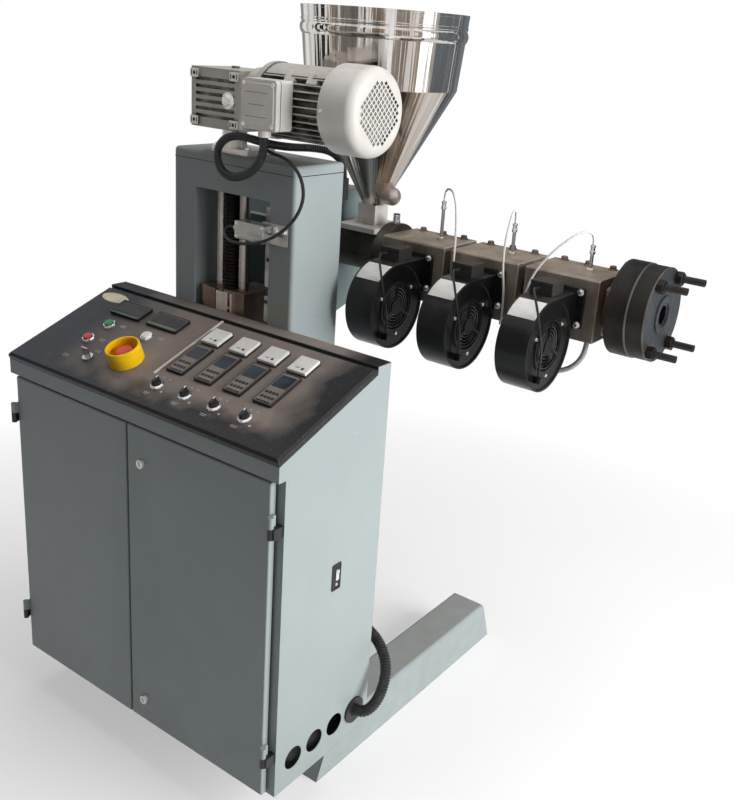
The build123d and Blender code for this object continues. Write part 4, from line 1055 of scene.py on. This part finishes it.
window_blue = glass("window_blue", "1b242f", "39434f")
display_glass = glass("display_glass", "141214", "2b2725")
green_line = moulded("green_line", "2f8f74", "1f6b57", 0.3)
controller_row, meter_row, display_row = 157.5, 238.5, 238
controller_face, meter_face, display_face = 6, 9, 7
display_columns = (147.5, 268.5)
borders, windows, keys = Shape(), Shape(), Shape()
faces, marks, screens, lines = Shape(), Shape(), Shape(), Shape()
for x in columns:
    front = on_console(x, controller_row, controller_face)
    borders.frame(front, rounded(48, 96, 2), rounded(43, 91, 1.5), 1.2)
    windows.cut(on_console(x, 179, controller_face), rounded(37, 36, 1.5), 0.8, 0.3)
    for column in (-13.5, -4.5, 4.5, 13.5):
        for row in (128, 143):
            keys.cut(on_console(x + column, row, controller_face), rounded(6.5, 6, 1.5), 1.4, 0.5)
    keys.cut(on_console(x, 115.5, controller_face), rounded(36, 4, 1), 0.8, 0.3)
    borders.frame(on_console(x, meter_row), rounded(51, 51, 2), rounded(48.4, 48.4, 1.5), 4, 0.4)
    faces.cut(on_console(x, meter_row, meter_face), rounded(46.5, 46.5, 1.5), 0.5, 0.4)
    marks.cut(on_console(x - 5, 226.5, meter_face + 0.5), rounded(10, 1.8, 0.5), 0.15, 0.05)
    marks.cut(on_console(x + 9, 225.5, meter_face + 0.5), rounded(6, 6, 0.8), 0.4, 0.1)
for x in display_columns:
    borders.frame(on_console(x, display_row, display_face), rounded(96, 48, 2), rounded(90, 42, 1.5), 1.2)
    screens.cut(on_console(x, 240, display_face), rounded(84, 33, 1.5), 0.8, 0.3)
    lines.cut(on_console(x, 214.4, display_face), rounded(84, 1.6, 0.6), 1.3, 0.3)
dusty_bezel = moulded("dusty_bezel", "39342f", "4a433e", 0.5)
piece("instrument_borders", borders, "frame", dusty_bezel)
piece("instrument_windows", windows, "frame", window_blue)
piece("display_screens", screens, "frame", display_glass)
piece("instrument_keys", keys, "frame", black)
piece("meter_faces", faces, "frame", white)
piece("meter_marks", marks, "frame", black)
piece("display_lines", lines, "frame", green_line)

# %% [markdown]
# A pale strip parts the panel in two and a plain oval sits in its left corner. The panel's black runs on to
# the cabinet's back edge, where the solid has a painted strip. A thin folded lip covers that strip, sized by
# the two solids that it joins.

# %% Divider, oval plate and back lip
strip = Shape().cut(on_console(380, 194.5), rounded(6.4, 207, 1.4), 1.4, 0.5)
piece("panel_divider", strip, "frame", moulded("pale_strip", "e2dad4", "bdb2aa", 0.5))
oval_plate = Shape().cut(on_console(59, 265), oval(86, 34), 0.8, 0.3)
oval_plate.frame(on_console(59, 265, 0.6), oval(84, 32), oval(80, 28.5), 0.5, 0.2)
piece("panel_oval", oval_plate, "frame", moulded("cream_plate", "d9d0b4", "b8ad8d", 0.4))
panel_low, panel_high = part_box("console_panel")
back_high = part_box("cabinet_back")[1]
lip_width = (panel_high[0] - panel_low[0]) / mm
lip_depth = (back_high[1] - panel_high[1]) / mm
lip_x = (panel_low[0] + panel_high[0]) / 2 / mm
lip_y = (panel_high[1] + back_high[1]) / 2 / mm
lip_z = back_high[2] / mm
lip = Shape().cut(on_top(lip_x, lip_y, lip_z), rounded(lip_width, lip_depth, 1.5), 1.2, 0.6)
lip.cut(on_front(lip_x, lip_y - lip_depth / 2, lip_z - 2.4), rounded(lip_width, 7, 0.5), 0.8, 0.3)
piece("panel_back_lip", lip, "frame", finishes["console_black"])

# %% [markdown]
# Plain dashes of paint stand beside the switches and buttons. They are raised by a fraction of a millimetre,
# just enough to have an edge.

# %% Dashes on the panel
dashes = Shape()
long_dash, short_dash, tick = rounded(17, 1.4, 0.5), rounded(13, 1.4, 0.5), rounded(6, 2, 0.6)


def dash(x, s, outline):
    dashes.cut(on_console(x, s), outline, 0.15, 0.05)


for x in columns:
    for side in (-9, 9):
        dash(x + side, 90, tick)
    dash(x - 6, 39, long_dash)
    dash(x - 6, 35, short_dash)
    dash(x + 22, 52, oval(6, 5, 16))
for x, s in ((176, 184), (298, 186), (172, 126), (199, 92), (139, 52)):
    for line in (0, 4.5):
        dash(x, s + line, long_dash)
piece("panel_dashes", dashes, "frame", moulded("dash_paint", "c9c5c0", "8f8881", 0.6))

# %% [markdown]
# ## Doors and cabinet sides
# Only small fittings are missing here: the keyholes of the two cam locks, and a black latch plate on the side
# with a bright lever. They are cut outlines laid on the solids, because a hole this small needs no depth; the
# keyholes are black marks, painted as shade. The keyholes ride on the right door, so that they swing with it.

# %% Keyholes and latch plate
lock_x, lock_face = 80.5, -407.5
keyhole_shade = Shape()
for z in (745, 178):
    # Black keyhole outlines: painted shade.
    keyhole_shade.cut(turn_by(on_front(lock_x, lock_face, z), 20), rounded(2.4, 11, 1.1), 0.25, 0.1)
piece("lock_keyhole_shade", keyhole_shade, "right_door", black)
side_wall, latch_y = 448, -219.5
latch_place = on_right(side_wall, latch_y, 556)
latch = Shape()
latch.frame(latch_place, rounded(27, 60, 3), rounded(19, 52, 2), 2.4)
latch.cut(latch_place, rounded(19, 52, 2), 1, 0.3)
piece("side_latch", latch, "frame", black)
lever = Shape().cut(on_right(side_wall + 1, latch_y, 562), rounded(9, 26, 2.5), 4, 0.8)
lever.cut(on_right(side_wall + 5, latch_y, 570), rounded(6, 9, 2), 2, 0.6)
lever.screw(on_right(side_wall + 1, latch_y, 539), 3.4, 2)
piece("latch_lever", lever, "frame", chrome)

# %% [markdown]
# ## Lift gearmotor
# The gear case has four pads on its front, each with a bright scraped face and a hole between two slots. The
# faces are thin plates on the solid, and each hole and its slots are black marks on those, painted as shade,
# because nothing goes into them.

# %% Pads and screws
pad_front, pad_skin, lid_front = -102, 0.4, -160
hole_shade, pads, bright = Shape(), Shape(), Shape()
for x in (-92.5, 22.5):
    for z in (1393, 1489):
        pads.cut(on_front(x, pad_front, z), rounded(23.6, 17.6, 2), pad_skin, 0.2)
        # Each hole and its slots are black marks: painted shade.
        hole_shade.turned(on_front(x, pad_front - pad_skin, z), [(3.8, 0), (3.8, 0.2)], 20)
        for side in (-8, 8):
            hole_shade.cut(on_front(x + side, pad_front - pad_skin, z), rounded(2.4, 10, 1), 0.2, 0.05)
piece("pad_faces", pads, "frame", own_finishes["gear_pedestal"])
piece("pad_hole_shade", hole_shade, "frame", black)
bright.bolt(on_front(4.5, -98, 1440), 22, 9)
for x in (109, 185):
    for z in (1408, 1486):
        bright.screw(on_front(x, lid_front, z), 4.2, 2.4)
bright.screw(on_front(275, -125, 1448), 4, 2.4)
for x in (-68, 20):
    for y in (-55, 8):
        bright.bolt(on_top(x, y, 1339), 13, 7)
piece("gearmotor_screws", bright, "frame", chrome)

# %% [markdown]
# The terminal box has a lid with a raised field and three grooves, drawn as thin darker strips that paint their
# shade, and the motor carries bright lugs on its upper front. The solid has ribs all round, but the photograph
# shows none along the top, so a thin skin, bent round the motor's axis, covers them there.

# %% Lid, lugs and crown
lid = Shape()
field = [(-32, -41), (32, -41), (41, -32), (41, 32), (32, 41), (-32, 41), (-41, 32), (-41, -32)]
lid.cut(on_front(147, lid_front, 1447), field, 2, 1.2)
lug = [(-13, -13), (13, -13), (13, -4), (0, -2), (-1, 13), (-13, 13)]
for x in (168, 226):
    lid.cut(stand((x, -84, 1497), (0, -1, 0.55), (1, 0, 0)), lug, 13, 1.4)
piece("gearmotor_castings", lid, "frame", silver_sheet)
grooves = Shape()
# The grooves are darker strips: painted shade.
for z, length in ((1424, 58), (1447, 44), (1470, 62)):
    grooves.cut(on_front(143, lid_front - 2, z), rounded(length, 1.5, 0.7), 0.15, 0.05)
piece("lid_groove_shade", grooves, "frame", finishes["worn_steel"])
lift_y, motor_z = -38, 1448
crown_stations = ((97, 0), (98, 0.8), (261, 0.8), (262, 0))
crown = Shape().bent((lift_y, motor_z), crown_stations, outer=75, inner=73, start=48, sweep=84, steps=20)
piece("motor_crown", crown, "frame", finishes["cast_aluminium"])

# %% [markdown]
# ## Hopper
# The sheet is stiffened by a rolled bead with a small fold above it, and its mouth by a turned-over rim. All
# are closed rings turned round the hopper's axis. The bead is a little fuller than the solid's, so that it
# catches the light, and it follows the wall, which widens upwards.

# %% Bead and rim
shoulder_radius, shoulder_height = 178, 1477
mouth_radius, mouth_height = 194, 1644
bead_steps = 12


def wall_radius(z):
    share = (z - shoulder_height) / (mouth_height - shoulder_height)
    return shoulder_radius + (mouth_radius - shoulder_radius) * share


hopper_axis = on_top(hopper_x, hopper_y, 0)
rolled = Shape()
for foot, head, bulge in ((1582, 1608, 4.8), (1610, 1618, 1.4)):
    heights = [foot + (head - foot) * n / bead_steps for n in range(bead_steps + 1)]
    swell = [bulge * math.sin(math.pi * n / bead_steps) ** 0.7 for n in range(bead_steps + 1)]
    roll = [(wall_radius(z) + out, z) for z, out in zip(heights, swell)]
    back = [(wall_radius(z) - 0.5, z) for z in (head, foot)]
    rolled.turned(hopper_axis, roll + back, 120, closed=True)
rim = [(191.5, 1637), (193.6, 1637.5), (193.95, 1640.5), (193.6, 1643.4), (191.5, 1643.9), (190, 1640.5)]
rolled.turned(hopper_axis, rim, 120, closed=True)
piece("hopper_rolls", rolled, "lift", finishes["stainless"])

# %% [markdown]
# ## Lift screw and its nut
# The screw's thread is a helix. Blender's screw modifier could wind one, but every slice through a helix is
# the same wavy ring, turned a little further, so a row of such rings gives a closed rod at once. The nut
# carries bright strips, and black blocks set a little back between them stand for its two slots as painted
# shade.

# %% Thread and nut strips
lift_x = -35
screw_low, screw_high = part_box("lead_screw")
screw_place = on_top(lift_x, lift_y, screw_low[2] / mm)
screw_length = (screw_high[2] - screw_low[2]) / mm
thread = Shape().threaded(screw_place, radius=20, length=screw_length, pitch=8, depth=3.2, sides=28)
piece("lift_thread", thread, "frame", own_finishes["lead_screw"], "lead_screw")
nut_front, nut_middle, nut_height, slot_depth = -68, 941, 164, 9
strips, slot_shade = Shape(), Shape()
strips.cut(on_front(-28.5, nut_front, nut_middle), rounded(35, nut_height, 1.5), 10.6, 0.8)
strips.cut(on_front(0, nut_front, nut_middle), rounded(5.5, nut_height, 1.2), 10.6, 0.6)
for z in (892, 990):
    # Black blocks in the slots: painted shade.
    slot_shade.cut(on_front(-7, nut_front, z), rounded(7, 26, 3), slot_depth, 0.6)
    strips.screw(on_front(-7, nut_front - slot_depth, z), 2.6, 1.5)
piece("nut_strips", strips, "lift", satin)
piece("nut_slot_shade", slot_shade, "lift", black)

# %% [markdown]
# The limit switch has a pale plate with a border on its front, screws in its corners, and two bolts that hold
# its bracket to the post.

# %% Limit switch
switch_front = -112
switch_plate = Shape().cut(on_front(101, switch_front, 1178), rounded(42, 9, 1.5), 0.8, 0.3)
switch_plate.frame(on_front(83.5, switch_front, 1181), rounded(80, 36, 3), rounded(76, 32, 2), 0.5, 0.2)
pale_green = moulded("pale_green_plate", "d6e8e0", "b4cabf", 0.4)
piece("switch_plate", switch_plate, "frame", pale_green)
switch_screws = Shape()
for x in (47, 120):
    for z in (1167, 1195):
        switch_screws.screw(on_front(x, switch_front, z), 2.6, 1.6)
for x in (134, 158):
    switch_screws.bolt(on_front(x, -84, 1190), 10, 5)
piece("switch_screws", switch_screws, "frame", chrome)

# %% [markdown]
# Two worn strips are bolted along the opening's right edge, and a dark joint runs under the column's cap, on
# the front and the right. The joint is a flat raised line, because the solids meet there without a gap.

# %% Post strips and cap joint
strips, bolts = Shape(), Shape()
for z, length in ((1148, 172), (1012, 58)):
    strips.cut(on_front(106.5, -72, z), rounded(12.5, length, 1.5), 6, 0.6)
for x, z in ((109, 1122), (106, 1029)):
    bolts.bolt(on_front(x, -78, z), 6, 3)
worn_strip = metal("worn_strip", "b9bab8", "77746f", 0.45, stained=0.9)
piece("post_strips", strips, "frame", worn_strip)
cap_joint = 1306
for place, run in ((on_front(-2, -80, cap_joint), 350), (on_right(180, 2, cap_joint), 148)):
    bolts.cut(place, rounded(run, 1.6, 0.7), 0.25, 0.1)
piece("post_bolts_and_joint", bolts, "frame", finishes["dark_steel"])

# %% [markdown]
# ## Blowers
# Each blower has a bare white plate bent round its rim, bolts in its outlet flange, screws round the intake
# and a guard of wire rings. A ring of wire is a small square profile turned round the fan's axis.

# %% Blower plates, screws and guards
scroll_y, scroll_z, scroll_radius, screw_circle = 142, 1020, 96, 64
plates, screws, guards = Shape(), Shape(), Shape()
for m in blower_middles:
    plate_stations = ((m - 31, 0), (m - 30.5, 0.5), (m + 30.5, 0.5), (m + 31, 0))
    plates.bent((scroll_y, scroll_z), plate_stations, outer=scroll_radius, inner=scroll_radius - 0.5,
                start=104, sweep=32, steps=12)
    for x in (m - 45, m + 45):
        for z in (1048, 1118):
            screws.bolt(on_front(x, 240, z), 10, 6)
    for radius in (20, 27, 34, 41, 48):
        wire = [(radius - 0.9, 0), (radius, -0.9), (radius + 0.9, 0), (radius, 0.9)]
        guards.turned(on_right(m + 31.5, scroll_y, scroll_z), wire, 48, closed=True)
    for degrees in (35, 155, 275):
        turn = math.radians(degrees)
        y, z = scroll_y + screw_circle * math.cos(turn), scroll_z + screw_circle * math.sin(turn)
        screws.screw(on_right(m + 32, y, z), 4, 3.4)
piece("blower_plates", plates, "lift", white)
piece("blower_screws", screws, "lift", chrome)
piece("blower_guards", guards, "lift", metal("guard_wire", "6f6d6a", "3c3a38", 0.38))

# %% [markdown]
# ## Barrel
# The heater halves are bolted along the top, and a collar sits before the end flange. The bolts of the flange
# face left, towards the heaters, so their placement is turned round.

# %% Bolts and collar
barrel_y, barrel_z, block_top = 318, 1089, 1147
flange_back, bolt_circle = 753, 84
bolts = Shape()
for middle in (257, 447, 637):
    for x in (-58, 0, 58):
        bolts.bolt(on_top(middle + x, 374, block_top), 13, 9)
for n in range(6):
    turn = math.radians(60 * n + 30)
    spot = (flange_back, barrel_y + bolt_circle * math.cos(turn), barrel_z + bolt_circle * math.sin(turn))
    bolts.bolt(stand(spot, (-1, 0, 0), (0, 1, 0)), 17, 11)
piece("barrel_bolts", bolts, "lift", finishes["worn_steel"])
collar_profile = [(45.5, 0), (52, 2), (55, 8), (55, 18), (50, 24), (45.5, 27.5)]
collar = Shape().turned(on_right(725, barrel_y, barrel_z), collar_profile, 48)
straw_steel = metal("straw_steel", "a58a66", "6b543c", 0.4, stained=0.8)
piece("barrel_collar", collar, "lift", straw_steel)

# %% [markdown]
# Four studs stand ready for a die. Their threads are cut like the lift screw's, only finer, and the nuts are
# turned with six sides. On the flange's face a raised register rings the bore. A thin black ring covers its
# countersink as painted shade, so that the bore looks wider. Pale rims, rubbed bare and painted lighter as the
# chamfers' highlight, mark where the two discs meet and where the face ends.

# %% Studs, register and rims
flange_joint, die_face = 797, 838
rods, nuts = Shape(), Shape()
nut_profile = [(12.6, 0), (15, 1.4), (15, 13.6), (12.6, 15), (9, 15)]
for y in (266, 370):
    for z in (1019, 1159):
        rods.threaded(on_right(flange_joint, y, z), radius=8, length=101, pitch=2.5, depth=1.0, sides=20)
        nuts.turned(on_right(die_face, y, z), nut_profile, 6)
piece("die_stud_threads", rods, "lift", finishes["dark_steel"], "die_studs")
piece("die_stud_nuts", nuts, "lift", finishes["dark_steel"], "die_studs")
die_axis = on_right(die_face, barrel_y, barrel_z)
register = [(20.3, 0), (26.5, 3), (40, 3), (41, 2), (41, 0)]
face = Shape().turned(die_axis, register, 56, closed=True)
piece("die_register", face, "lift", own_finishes["die_flange"])
# A thin black ring over the countersink: painted shade.
countersink_shade = [(20.5, 0.3), (26.3, 3.1), (27.2, 3.2), (27.2, 3.0), (26.4, 2.9), (20.5, 0.1)]
shade = Shape().turned(die_axis, countersink_shade, 56, closed=True)
piece("bore_shade_ring", shade, "lift", finishes["blower_black"])
# The rims are paler than the flange: rubbed metal, and a painted highlight on the chamfers.
joint_rim = [(98.9, 0), (101, 0), (99.1, 3), (98.9, 3)]
front_rim = [(96.5, 0), (96.5, 0.3), (98.6, 0.3), (99.3, -0.6), (99.3, -3), (98.9, -3), (98.5, 0)]
rims = Shape().turned(on_right(flange_joint, barrel_y, barrel_z), joint_rim, 96, closed=True)
rims.turned(die_axis, front_rim, 96, closed=True)
rubbed_rim_and_highlight = metal("rubbed_rim_and_highlight", "7f7b76", "4f4c48", 0.5, edge="96928c")
piece("flange_rims", rims, "lift", rubbed_rim_and_highlight)

# %% [markdown]
# A sensor stands on each heater, with a hexagon foot on the block and a stepped cap where its lead begins. A
# nipple stands on the feed section. All are turned, and share one bright finish.

# %% Sensor caps
caps = Shape()
nipple = [(9.4, 0), (9.4, 8), (8.4, 9), (8.4, 22), (7, 24), (4, 24)]
cap_height = 20
cap_profile = [(4.1, 0), (6.2, 1), (6.2, 7), (5, 8), (5, 14), (6, 15), (6, 19), (3, cap_height)]
foot_profile = [(9, 0), (9, 6), (7.5, 7), (4.2, 8)]
caps.turned(on_top(156, barrel_y, 1163), nipple, 24)
for lead in lead_routes:
    x, y, z = lead[0]
    caps.turned(on_top(x, y, z - cap_height), cap_profile, 16)
    caps.turned(on_top(x, y, block_top), foot_profile, 6)
piece("sensor_caps", caps, "lift", chrome)
